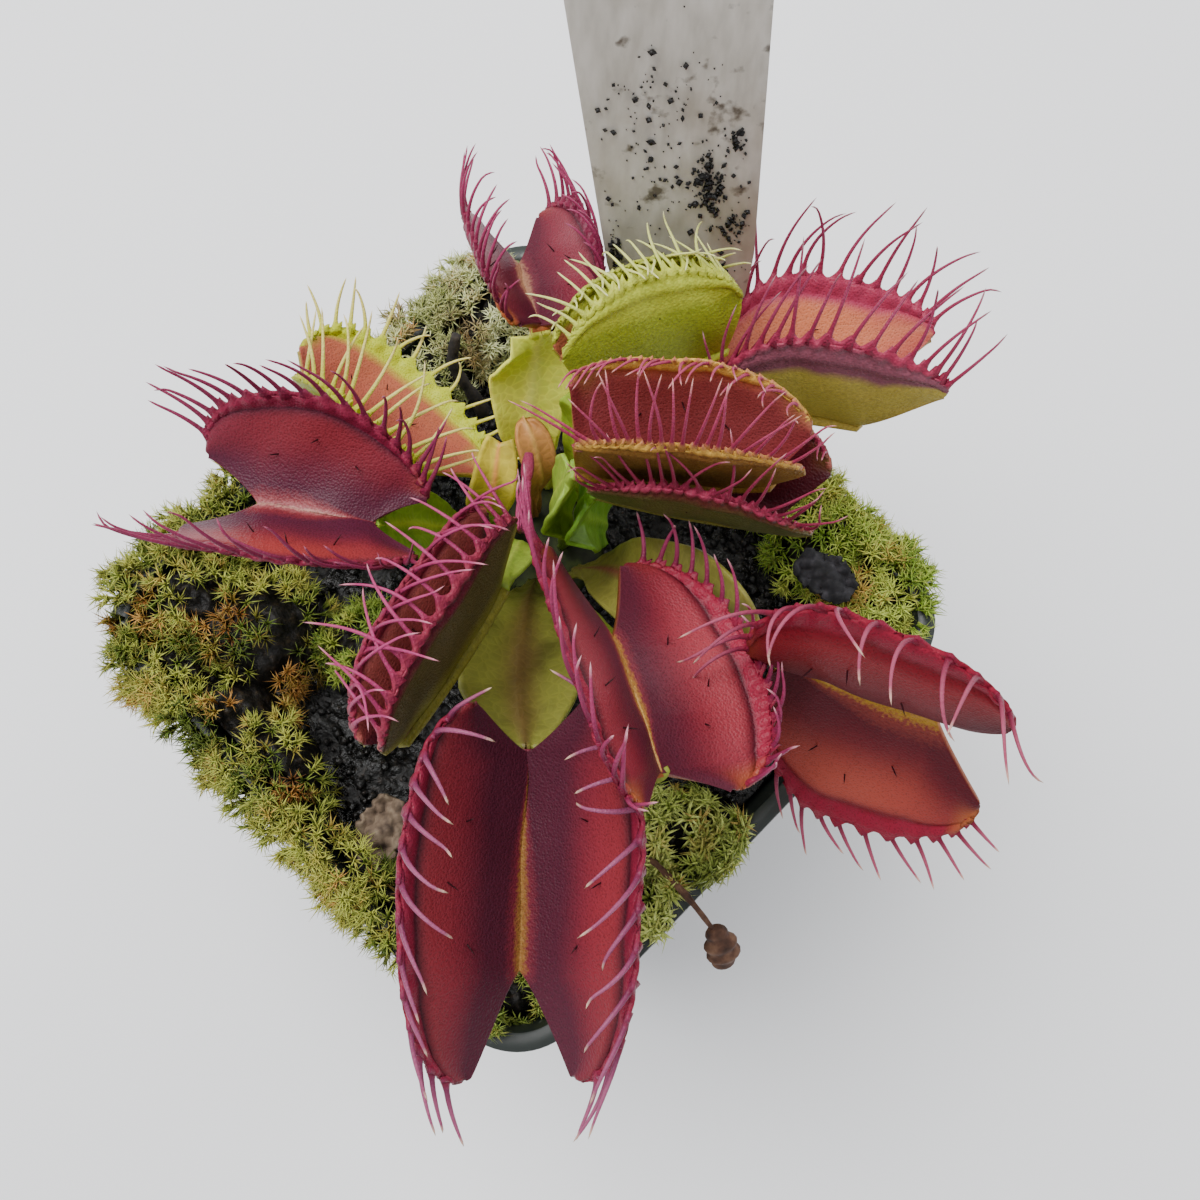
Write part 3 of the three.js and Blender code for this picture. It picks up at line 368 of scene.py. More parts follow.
def make_crown():
    """The bulb is a turned profile that the leaf bases lift into low ridges. The roots, each
    with its way round and its splay, are strands with a bend."""
    height = np.array([0, 0.02, 0.1, 0.3, 0.55, 0.75, 0.88, 0.96, 1.0, 1.0])
    girth = np.array([0.05, 0.4, 0.55, 0.75, 0.9, 1.0, 0.98, 0.9, 0.7, 0.1])
    turn = np.linspace(0, 2 * np.pi, 97)[:-1]
    ridge = 1 - 0.05 * np.abs(np.sin(turn * SCALE_RIDGES / 2))[None, :] * (height > 0.3)[:, None]
    radius = CROWN["radius"] * girth[:, None] * ridge
    z = CROWN["top"] - CROWN["depth"] * (1 - height[:, None]) - 0.25 + 0 * turn[None, :]
    bulb = ring_grid(np.stack([CROWN["x"] + radius * np.cos(turn),
                               CROWN["y"] + radius * np.sin(turn), z], 2))
    turn, splay = np.radians([root[0] for root in ROOTS]), np.array([root[1] for root in ROOTS])
    step = np.linspace(0, 1, 12)[None, :]
    reach = 1.8 + splay[:, None] * step + 4 * step * (1 - step)
    paths = np.stack([CROWN["x"] + reach * np.cos(turn)[:, None],
                      CROWN["y"] + reach * np.sin(turn)[:, None],
                      CROWN["top"] - CROWN["depth"] + 2 - ROOT_DEPTH * step + 0 * reach], 2)
    taper = 1.3 - 0.6 * step
    roots = strands(paths, np.tile([0.7, 0.7, 0.1], (3, 1)), taper, taper, 10)
    points, faces = join(bulb, roots)
    return in_pot(points), faces


# Living crown tissue: dark green flushed with brown in clouds of 2.4 mm, with a soft sheen.
crown_skin, crown_shader = new_material("crown_scale_leaves", Roughness=0.55, IOR=1.4,
                                        Specular_IOR_Level=0.3)
place = add_node(crown_skin, "TexCoord").outputs["Object"]
cloud = add_node(crown_skin, "TexNoise", place, 420, 5)
tone = add_node(crown_skin, "ValToRGB", cloud,
                stops=[(0.3, 0x12120A), (0.5, 0x232A10), (0.7, 0x3E4A1A)])
plug(crown_shader, Base_Color=tone)
crown = add_piece("crown_bulb", *make_crown(), crown_skin, crease=50)
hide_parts("crown")

# ------------------------------------------------------------------ the leaves
# Eleven grown leaves. Each is one leaf: a flat winged stalk that tapers to a neck, and a trap
# of two lobes hinged on a midrib and fringed with teeth. The traps come first, in their colours.

# Sizes in mm and angles in degrees, in the plant's frame. Pairs are for the left and the right
# lobe, but tips and full for the tip end and the root end.
# centre, az, el, roll: the trap's middle, where its midrib points, its rise and its roll.
# midrib, tip_run, root_run, width: the midrib's length, the lobes' runs past it, their width.
# slopes: a lobe's slope at the midrib and at the margin. bow: the trap's bend along its length.
# tips: how far a lobe's corners stand off the middle line, as a share of the width.
# full: the powers of the lobes' superellipse outline.
# count, stout, sweep: the teeth on a lobe, their thickness, and their bend along the trap.
# teeth: length, lean towards the mouth, curl, fan and drift along the trap.
# pads: how far the rim swells at each tooth.
# foot, inner, arch: where the stalk stands round the crown, whether on its inner ring, and the
# points that it runs through on its way to the trap.
# wing, shoulder, ears, waves: the stalk's greatest width, where and how it narrows, how far its
# shoulders reach past the neck, and how far its margins wave.
LEAVES = {
    "front": dict(
        centre=(1.8, -29.9, 101), az=-92, el=-18, roll=5, midrib=21.2, tip_run=9.5, root_run=5.9,
        width=15.2, slopes=((24, 68), (38, 50)), bow=16, tips=(0.4, 0.4), count=14,
        teeth=((8.5, 55, 45, 2.0, 0.6), (7.5, 50, 45, 2.0, 0.8)), sweep=0.4,
        stout=1.5, foot=-97, wing=13, shoulder=(0.78, 1.0, 1.3, 0.9),
        arch=[(1, -3, 88), (1, -13, 97)]),
    "middle": dict(
        centre=(12.6, -16.2, 109.2), az=109, el=-6, roll=-31, midrib=13.5, tip_run=8.6,
        root_run=2.9, width=13.7, slopes=((40, 36), (-13, 42)), bow=-22, tips=(0.4, 0.55),
        teeth=((8.5, 12, 20, 0.8, 0.6), (6.5, 40, 30, 0.6, 0.5)), sweep=0.2,
        count=17, stout=1.35, foot=-73, wing=5, arch=[(10, -5, 84), (16, -18, 96)]),
    "right": dict(
        centre=(34.6, -13.4, 103.2), az=-23, el=15, roll=-36, midrib=15.4, tip_run=6.6,
        root_run=1.9, width=19.8, slopes=((79, 23), (-22, -22)), bow=-8, tips=(0.5, 0.15),
        teeth=((9.5, 30, 60, 0.7, -0.45), (6.5, 5, 20, 1.0, 0.35)), sweep=0.2,
        count=13, stout=1.3, foot=-50, wing=12, arch=[(12, 2, 88), (20, -5, 98)]),
    "inner_left": dict(
        centre=(-5.2, -11.3, 103.6), az=-119, el=10, roll=-20, midrib=18.3, tip_run=3.2,
        root_run=6, width=10.6, slopes=((70, 88), (62, 85)), bow=25, tips=(0.25, 0.5),
        teeth=((9.5, 45, 25, 0.3, -0.25), (9.5, 45, 25, 0.3, -0.25)), sweep=0.0,
        count=14, stout=1.1, foot=-110, inner=True, wing=5, arch=[(0.5, 6, 84), (0.5, 3, 95)]),
    "left": dict(
        centre=(-20.2, 5.3, 100.5), az=171, el=0, roll=-8, midrib=11.9, tip_run=5.8,
        root_run=4.8, width=12.8, slopes=((28, 60), (16, 74)), bow=-34, tips=(0.4, 0.3),
        full=(2.3, 1.3), teeth=((9, 10, 20, 0.6, 0.45), (8, 8, 15, 0.7, 0.3)), sweep=0.2,
        count=18, stout=1.35, foot=194, wing=8, arch=[(-8, 9, 82), (-13, 6.6, 92.6)]),
    "lime": dict(
        centre=(-19.2, 18.4, 89), az=143, el=20, roll=2, midrib=14.1, tip_run=3.1, root_run=6.2,
        width=12.3, slopes=((96, 88), (-26, -12)), bow=48, tips=(0.3, 0.5), count=15,
        teeth=((9.5, 55, 15, 0.9, 0), (6, 10, 20, 1.4, 0)), sweep=0.0,
        stout=1.3, foot=160, wing=4.5, arch=[(-9, 12, 75), (-14, 12.5, 80)]),
    "back": dict(
        centre=(1.4, 31, 98.2), az=108, el=-18, roll=-3, midrib=9.6, tip_run=5, root_run=2.2,
        width=10.7, slopes=((43, 81), (10, 70)), bow=0.001, tips=(0.4, 0.4), count=16,
        teeth=((7, 15, 25, 0.7, 0.3), (7, 15, 25, 0.7, 0.3)), sweep=0.2,
        stout=1.2, foot=84, wing=10, arch=[(1, 21, 84), (2, 26, 93)]),
    "yellow": dict(
        centre=(15.1, 20.8, 101), az=20, el=-8, roll=36, midrib=16.5, tip_run=3, root_run=3.5,
        width=12.4, slopes=((69, 104), (60, 103)), bow=36, tips=(0.45, 0.3), count=19,
        teeth=((6, 50, 15, 0.4, 0.1), (6.5, 30, 20, 0.4, -0.35)), sweep=0.0,
        foot=50, wing=6, arch=[(6.8, 17.6, 82), (7.4, 19, 92)]),
    "back_right": dict(
        centre=(31.2, 18.8, 95), az=-9, el=0, roll=27, midrib=13.3, tip_run=6.1, root_run=3,
        width=15.1, slopes=((26, 62), (50, 87)), bow=-8, tips=(0.7, 0.15), count=17,
        teeth=((10, 10, 15, 0.4, 0.1), (10, 10, 10, 0.4, 0.15)), sweep=0.1,
        stout=1.15, foot=22, wing=8, arch=[(14, 17, 82), (20, 20, 91)]),
    "centre": dict(
        centre=(16.6, 7, 105.8), az=-5, el=2, roll=0, midrib=19.6, tip_run=5.6, root_run=4.4,
        width=14.8, slopes=((35, 85), (79, 85)), bow=62, tips=(0.3, 0.6), count=20,
        teeth=((5.5, 25, 30, 0.6, -0.4), (9.5, 10, 15, 1.2, 0)), sweep=0.0,
        stout=0.95, foot=-20, inner=True, wing=7, ears=2, waves=0.01, pads=0.05,
        arch=[(5.4, 10, 84), (4.6, 7.6, 96)]),
    "low": dict(
        centre=(18.1, 5.7, 100.6), az=-12, el=0, roll=0, midrib=18.8, tip_run=5.5, root_run=2,
        width=13.2, slopes=((20, 60), (56, 104)), bow=40, tips=(0.4, 0.4), count=20,
        teeth=((4, 60, 25, 0.3, 0), (9, -10, 10, 1.1, 0)), sweep=0.0,
        stout=0.95, foot=-4, wing=8.5, ears=3, waves=0.01, arch=[(9.5, 10, 82), (7.2, 7.4, 94)]),
}
LOBE_THICK, LOBE_FULL, LOBE_END = 0.8, (2.3, 2.3), 0.96
MARGIN_SPAN, TOOTH_STEPS, TOOTH_SIDES, WEB = 1.86, 14, 7, 1.2
LOBE_ROWS, WEB_COLUMNS, TRAP_SEED = 150, 6, 3
FOLD_AT, PAD_AT, EDGE_AT = 0.87, 0.96, 0.97
HALF_STREAK = (0.1, 0.85)
MIDRIB_DROP, MIDRIB_RADIUS, HAIR_RADIUS = 0.62, 1.12, 0.08
HAIRS_ALONG, HAIRS_ACROSS = (-0.3, 0.02, 0.34), (0.5, 0.62, 0.46)


def unit(vectors):
    """Vectors at length one."""
    return vectors / (np.linalg.norm(vectors, axis=-1, keepdims=True) + 1e-12)


def smoothstep(x, low, high):
    """0 at low, 1 at high, and a smooth cubic between."""
    part = np.clip((x - low) / (high - low), 0, 1)
    return part * part * (3 - 2 * part)


def trap_axes(leaf):
    """The trap's own axes: along its midrib, to its side, and out of its mouth."""
    az, el, roll = np.radians([leaf["az"], leaf["el"], leaf["roll"]])
    along = np.array([np.cos(az) * np.cos(el), np.sin(az) * np.cos(el), np.sin(el)])
    rise = np.array([-np.cos(az) * np.sin(el), -np.sin(az) * np.sin(el), np.cos(el)])
    cross = np.cross(rise, along)
    mouth = rise * np.cos(roll) + cross * np.sin(roll)
    side = cross * np.cos(roll) - rise * np.sin(roll)
    return along, side, mouth


def lobe_outline(leaf, s, t):
    """How far a point lies along and across a lobe in mm, and past the midrib's end. The
    outline is a superellipse that narrows to a corner at each end. Off the midrib's ends, the
    inner edge leaves the middle line by a power of the distance."""
    half = leaf["midrib"] / 2
    reach = half + np.where(s >= 0, leaf["tip_run"], leaf["root_run"])
    tip = np.where(s >= 0, *leaf["tips"]) * leaf["width"]
    free = np.clip((np.abs(s) - half / reach) / (1 - half / reach), 0, 1)
    power = np.where(s >= 0, *leaf.get("full", LOBE_FULL))
    rounded = np.maximum(1 - np.abs(s) ** power, 0) ** (1 / power)
    outer = tip + (leaf["width"] - tip) * rounded
    inner = tip * free ** 0.8
    return s * reach, inner + (outer - inner) * t, np.maximum(np.abs(s) * reach - half, 0)


def lobe_point(leaf, sign, s, t):
    """A point of a lobe: s from root end (-1) to tip end (1), t from midrib (0) to margin (1).
    Across, an arc whose slope turns from its first to its last angle. Along, the trap is bowed
    on a circle."""
    along, side, mouth = trap_axes(leaf)
    s, t = np.broadcast_arrays(np.asarray(s, float), np.asarray(t, float))
    far, across, _ = lobe_outline(leaf, s, t)
    b = across / leaf["width"]
    first, last = np.radians(leaf["slopes"][sign < 0])
    turn = (last - first) or 1e-4
    out = leaf["width"] / turn * (np.sin(first + turn * b) - np.sin(first))
    high = leaf["width"] / turn * (np.cos(first) - np.cos(first + turn * b))
    circle = (leaf["midrib"] + leaf["tip_run"] + leaf["root_run"]) / np.radians(leaf["bow"])
    angle = far / circle
    return (np.array(leaf["centre"]) + ((circle - high) * np.sin(angle))[..., None] * along
            + sign * out[..., None] * side + (circle - (circle - high) * np.cos(angle))[..., None]
            * mouth)


def lobe_step(k):
    """Rows come closer together towards the lobe's ends."""
    return np.sin(np.pi / 2 * LOBE_END * k)


def margin_frame(leaf, sign, k):
    """At the margin: the point, the way out of the lobe, the way along the margin, and the way
    in over the mouth."""
    s = lobe_step(k)
    root = lobe_point(leaf, sign, s, 1.0)
    out = unit(root - lobe_point(leaf, sign, s, 0.9))
    edge = unit(lobe_point(leaf, sign, np.minimum(s + 0.02, 1), 1.0)
                - lobe_point(leaf, sign, np.maximum(s - 0.02, -1), 1.0))
    return root, out, edge, unit(np.cross(edge, out)) * sign


def tooth_places(leaf, sign):
    """Where the teeth stand along the margin, evenly in the row measure."""
    step = MARGIN_SPAN / leaf["count"]
    return step * (np.arange(leaf["count"]) + (0.35 if sign > 0 else 0.65)) - MARGIN_SPAN / 2


def sheet(grid, half):
    """A closed thin sheet: the grid (row, column, xyz) moved both ways along its own normals by
    half its thickness, with a wall round the edge."""
    normal = unit(np.cross(np.gradient(grid, axis=0), np.gradient(grid, axis=1)))
    rows, columns = grid.shape[:2]
    count, upper = rows * columns, np.roll(cells(rows, columns, closed=False)[:, ::-1], 1, axis=1)
    index = np.arange(count).reshape(rows, columns)
    edge = np.concatenate([index[0, :], index[1:, -1], index[-1, -2::-1], index[-2:0:-1, 0]])
    after = np.roll(edge, -1)
    wall = np.concatenate([np.stack([edge, after, after + count], 1),
                           np.stack([edge, after + count, edge + count], 1)])
    points = np.concatenate([(grid + normal * half[..., None]).reshape(-1, 3),
                             (grid - normal * half[..., None]).reshape(-1, 3)])
    return points, np.concatenate([upper, upper[:, ::-1] + count, wall])


def make_lobe(leaf, look, sign, seed):
    """One lobe as a sheet. Past the margin it is drawn out to a web at each tooth, with a round
    scallop between, in the direction in which the teeth set off. A fold runs just inside the
    margin, the rim swells at each tooth, and the whole lobe has a slow unevenness. The marks
    are how far a point is across and along, the middle streak's nearness as distance over half
    its width, the warm glow halfway out, and the coloured corners."""
    k = np.linspace(-1, 1, LOBE_ROWS)[:, None]
    t = np.concatenate([[0, 0.012, 0.03, 0.055, 0.09, 0.14], np.linspace(0.2, 0.76, 8),
                        np.linspace(0.8, 1, 11), np.ones(WEB_COLUMNS)])[None, :]
    web = np.linspace(0, 1, WEB_COLUMNS + 1)[1:]
    web = np.concatenate([np.zeros(t.size - WEB_COLUMNS), web])[None, :]
    s = lobe_step(k)
    grid = lobe_point(leaf, sign, s, t + 0 * k)
    _, out, _, inward = margin_frame(leaf, sign, k[:, 0])
    lean = np.radians(0.6 * leaf["teeth"][sign < 0][1])
    places = tooth_places(leaf, sign)
    near = np.abs(k - places[None, :]).min(1) / (MARGIN_SPAN / 2 / leaf["count"])
    cusp = np.maximum(1 - near, 0) ** 1.5
    set_off = unit(out * np.cos(lean) + inward * np.sin(lean))
    grid = grid + (WEB * cusp[:, None] * web)[..., None] * set_off[:, None, :]
    normal = unit(np.cross(np.gradient(grid, axis=0), np.gradient(grid, axis=1)))
    fold = 0.3 * np.exp(-((t - FOLD_AT) / 0.045) ** 2) * (web == 0)
    pads = np.cos(np.pi * near)[:, None] * np.exp(-((t - PAD_AT) / 0.05) ** 2)
    pads = leaf.get("pads", 0.14) * pads
    wave = 0.2 * np.sin(7 * s + 3 * t + seed) * np.sin(3.1 * t + 1.3 * seed + 2 * s)
    grid = grid + (wave * (1 - web) - sign * (fold - pads))[..., None] * normal
    half = (LOBE_THICK / 2) * (1 - 0.35 * t - 0.25 * web)
    half = half + 0.1 * np.exp(-((t - EDGE_AT) / 0.03) ** 2)
    half = half * np.clip((1.02 - np.abs(k)) / 0.05, 0.35, 1)
    points, faces = sheet(grid, half + 0 * k)
    far, across, beyond = lobe_outline(leaf, s + 0 * t, t + 0 * s)
    streak = HALF_STREAK[0] + HALF_STREAK[1] * smoothstep(far / leaf["midrib"], -0.5, 0.25)
    warm = look["warmth"][sign < 0] * smoothstep(t, 0.3, 0.7)
    warm = warm * (1 - smoothstep(t, 0.78, 0.86)) * np.clip(1 - 1.1 * s ** 2, 0, 1)
    ends = look["ends"][sign < 0]
    corner = smoothstep(t, 0.2, 0.75) * (ends[0] * smoothstep(-s, 0.72, 0.97)
                                         + ends[1] * smoothstep(s, 0.8, 0.98))
    inside = np.concatenate([np.ones(across.size), np.zeros(across.size)])
    marks = {
        "margin": np.tile((t + 0.08 * web + 0 * k).ravel(), 2),
        "streak": np.tile((np.hypot(across, beyond) / streak).ravel(), 2),
        "warm": np.tile(warm.ravel(), 2),
        "corner": np.tile(corner.ravel(), 2),
        "inside": inside if sign > 0 else 1 - inside,
        "tooth": np.tile((0.12 * web * cusp[:, None]).ravel(), 2),
    }
    return points, faces, marks


def marked(points, faces, **marks):
    """A part of a trap with its marks, each one value all over or one a point."""
    same = {"margin": 0.0, "streak": 9.0, "warm": 0.0, "corner": 0.0, "inside": 1.0, "tooth": 0.0}
    return points, faces, {key: np.zeros(len(points)) + marks.get(key, value)
                           for key, value in same.items()}


def make_teeth(leaf, sign, chance):
    """Teeth are strands whose tilt grows from the lean by twice the curl along their length,
    with a small hook at the end, and whose way along the trap grows by the sweep. Each step
    adds its direction. They are flattened at the foot and end in a blunt point."""
    length, lean, curl, fan, drift = leaf["teeth"][sign < 0]
    count = leaf["count"]
    k = tooth_places(leaf, sign)
    root, out, edge, inward = margin_frame(leaf, sign, k)
    along = trap_axes(leaf)[0]
    q = np.linspace(0, 1, TOOTH_STEPS)[None, :]
    lean = lean + chance.normal(0, 5, (count, 1))
    curl = curl * chance.uniform(0.6, 1.35, (count, 1))
    hook = chance.normal(10, 32, (count, 1)) * smoothstep(q, 0.75, 1)
    tilt = np.radians(lean + 2 * curl * q + hook)[..., None]
    sway = (fan * k + drift)[:, None] + chance.normal(0, 0.1, (count, 1))
    sway = sway + (leaf["sweep"] + chance.normal(0, 0.3, (count, 1))) * 2 * q
    way = unit(out[:, None] * np.cos(tilt) + inward[:, None] * np.sin(tilt)
               + along * sway[..., None])
    grown = length * chance.uniform(0.8, 1.12, count) * (1 - 0.25 * np.abs(k) ** 3)
    steps = np.cumsum(way, axis=1) - way[:, :1]
    paths = root[:, None] + steps * (grown / (TOOTH_STEPS - 1))[:, None, None]
    paths[:, 0] -= 0.4 * way[:, 0]
    foot = np.maximum(1 - q / 0.15, 0) ** 2
    stout = leaf.get("stout", 1.0)
    wide = stout * (0.06 + 0.16 * (1 - q) ** 0.8 + 0.38 * foot)
    thick = stout * (0.05 + 0.14 * (1 - q) ** 0.8 + 0.1 * foot)
    points, faces = strands(paths, edge, wide, thick, TOOTH_SIDES)
    part = np.concatenate([np.repeat(q[0, :-1], TOOTH_SIDES), [1.0]])
    return marked(points, faces, margin=1.0, tooth=np.tile(np.maximum(part, 0.05), count))


def make_trigger_hairs(leaf, sign):
    """Three stiff hairs stand on each lobe's inside, in a triangle."""
    s, t = np.array(HAIRS_ALONG), np.array(HAIRS_ACROSS)
    foot = lobe_point(leaf, sign, s, t)
    normal = unit(np.cross(lobe_point(leaf, sign, s + 0.02, t) - foot,
                           lobe_point(leaf, sign, s, t + 0.02) - foot)) * sign
    lean = unit(normal + trap_axes(leaf)[0] * np.array([[-0.5], [0.3], [0.7]]))
    q = np.array([-0.2, 0.4, 1.1, 1.8])[None, :, None]
    paths = foot[:, None] + q * lean[:, None]
    points, faces = strands(paths, np.tile([1.0, 0.1, 0], (3, 1)), HAIR_RADIUS, HAIR_RADIUS, 5)
    return marked(points, faces, margin=FOLD_AT, tooth=-1.0)


def make_midrib(leaf):
    """The hinge: a rounded rib below the lobes' meeting line, drawn out into the neck."""
    k = np.linspace(-1.0, 1.0, 26)
    half = leaf["midrib"] / 2
    reach = half + np.where(k >= 0, leaf["tip_run"], leaf["root_run"])
    path = lobe_point(leaf, 1, k * half / reach, 0.0)
    along, side, mouth = trap_axes(leaf)
    path = path - MIDRIB_DROP * mouth
    path[0] -= 0.3 * along
    path = np.concatenate([path, path[-1:] + 0.6 * along])[None]
    width = MIDRIB_RADIUS * np.concatenate([1 - 0.25 * (k + 1) / 2, [0]])[None]
    return marked(*strands(path, side[None], width, width * 0.7, 14), inside=0.0)


def make_trap(leaf, look, seed):
    """Both lobes, the midrib, the teeth and the trigger hairs in one piece."""
    chance = np.random.default_rng(seed)
    parts = [make_midrib(leaf)]
    for sign in (1, -1):
        parts += [make_lobe(leaf, look, sign, seed + sign), make_teeth(leaf, sign, chance),
                  make_trigger_hairs(leaf, sign)]
    points, faces = join(*(part[:2] for part in parts))
    marks = {key: np.concatenate([part[2][key] for part in parts]) for key in parts[0][2]}
    return in_pot(points), faces, marks


# Trap flesh: a waxy leaf skin over wet tissue, so soft inside and satin on top. The inside is
# dotted with digestive glands, about seven to the millimetre, drawn here at 0.25 mm to show.
# Of the colours, streak and pale are the hinge's, pale partly a painted highlight in a line down
# the midrib, deep to rim run from the midrib out, with crease partly painted shade in the fold
# inside the rim where it is darker than its neighbours, warm is the glow between, back and band are
# the outside's, and tooth to tip a tooth's. edge is where the crease runs, dark how far the deep
# tone reaches, gloss the shine and broad the streak's width.
# warmth (the glow's strength) and ends (the corners', at the root and at the tip) are for the
# left and the right lobe.
TRAP_LOOKS = {
    "front": dict(
        streak=0x7C5428, pale=0x8A6434, deep=0x461A28, flesh=0x621E2A, near=0x6C242C, warm=0x862C34,
        crease=0x3A121C, rim=0x7E2036, back=0x5C3A2C, band=0x6A2432, tooth=0x702E4C, mid=0x8E4A68,
        tip=0xD8BC9C, corner=0x702838, edge=0.86, dark=0.3, warmth=(0.75, 0.75),
        ends=((0, 0.25), (0, 0.25))),
    "middle": dict(
        streak=0xA0702E, pale=0xBC9050, deep=0x54202E, flesh=0x6A1E2A, near=0x7C2632, warm=0x9A3A42,
        crease=0x44101C, rim=0x8A2238, back=0x5C3222, band=0x7A2034, tooth=0x701E3C, mid=0x903458,
        tip=0xD09AA0, corner=0xA0582E, edge=0.86, warmth=(0.4, 0.6), ends=((1, 0.6), (0.6, 0.1))),
    "right": dict(
        streak=0xA07A28, pale=0xA87C44, deep=0x4E1820, flesh=0x641C22, near=0x7A2228, warm=0xA24A3A,
        crease=0x64141E, rim=0x7E1E30, back=0x623422, band=0x841E2A, tooth=0x6E2036, mid=0x984A60,
        tip=0xDCB8A0, corner=0xA05A34, edge=0.86, warmth=(0.0, 0.72), ends=((0.3, 0), (0.2, 0.9)),
        gloss=0.06, broad=2.0),
    "inner_left": dict(
        streak=0x7A4A30, pale=0x7A4A30, deep=0x40161E, flesh=0x823A3A, near=0x984E48, warm=0x7A2C30,
        crease=0x6A2032, rim=0x8C3044, back=0x54482A, band=0x541826, tooth=0x8A2A50, mid=0xA03A66,
        tip=0xD8949E, corner=0x848030, edge=0.9, warmth=(0, 0), ends=((0, 0), (0, 0))),
    "left": dict(
        streak=0x8A4A4C, pale=0xA8786E, deep=0x48182A, flesh=0x5E1C2A, near=0x6A2030, warm=0x943430,
        crease=0x441424, rim=0x7A2038, back=0x5C3024, band=0x742032, tooth=0x6C1E3A, mid=0x7E2A4A,
        tip=0x8E4A60, corner=0x8A4038, edge=0.86, warmth=(0.9, 0.3), ends=((0.2, 0.2), (0.6, 0))),
    "lime": dict(
        streak=0xA88A3A, pale=0xA88A3A, deep=0x8E4636, flesh=0xA0503E, near=0xA4563E, warm=0xA86446,
        crease=0xB0B030, rim=0xAEB626, back=0xA0AA2C, band=0xB2B830, tooth=0xBCBC44, mid=0xD2C870,
        tip=0xE0CE9C, corner=0xA8A830, edge=0.86, warmth=(0.3, 0.3), ends=((0.8, 0.6), (0.8, 0.6))),
    "back": dict(
        streak=0x9E7058, pale=0xA87C5C, deep=0x541A2A, flesh=0x702432, near=0x7C303C, warm=0x843A44,
        crease=0x421220, rim=0x782640, back=0x663C2A, band=0x782236, tooth=0x741E3C, mid=0x8A2E52,
        tip=0x96526A, corner=0xB8683A, edge=0.86, warmth=(0.3, 0.4), ends=((1, 0.1), (1, 0.1))),
    "yellow": dict(
        streak=0xA88A3A, pale=0xA88A3A, deep=0x8A4A34, flesh=0x9A5A3A, near=0xA07A3A, warm=0xA86A40,
        crease=0x969A30, rim=0xB4BA44, back=0x8F9A2C, band=0xA8B038, tooth=0xBCC45C, mid=0xD2D480,
        tip=0xE2DAA8, corner=0x9EA434, edge=0.72, warmth=(0, 0), ends=((0, 0), (0, 0))),
    "back_right": dict(
        streak=0xC08A50, pale=0xC08A50, deep=0xA04A3E, flesh=0xB05A48, near=0xB26452, warm=0xBE6E48,
        crease=0x9A4248, rim=0x96304A, back=0xA8963E, band=0x7E4654, tooth=0x842440, mid=0x8E3654,
        tip=0x94767A, corner=0xA08A3A, edge=0.76, warmth=(0.9, 0.4), ends=((0, 0), (0, 0))),
    # The centre trap's deep, flesh and near are partly painted light, lightened for lobe insides
    # that lie in shade.
    "centre": dict(
        streak=0x94602E, pale=0x94602E, deep=0x7C3234, flesh=0x863C3E, near=0x904240, warm=0x8C3E3C,
        crease=0xA85A3C, rim=0xD0A24C, back=0x8A6A32, band=0x8A6430, tooth=0x94304E, mid=0x9E3E5C,
        tip=0xD09A8C, corner=0x9A7430, edge=0.9, warmth=(0.4, 0), ends=((0.7, 0.4), (0.7, 0.4))),
    "low": dict(
        streak=0x7A5A2C, pale=0x7A5A2C, deep=0x40121A, flesh=0x561820, near=0x641A28, warm=0x641A28,
        crease=0x521622, rim=0xA83C58, back=0x52582A, band=0x5A2E26, tooth=0x842642, mid=0x943654,
        tip=0xC88890, corner=0x76702E, edge=0.92, warmth=(0, 0), ends=((0.1, 0.4), (0.1, 0.4))),
}
PRODUCT = {**COLOURS, "blend_type": "MULTIPLY"}
HAIR_COLOUR = 0x2A0A12


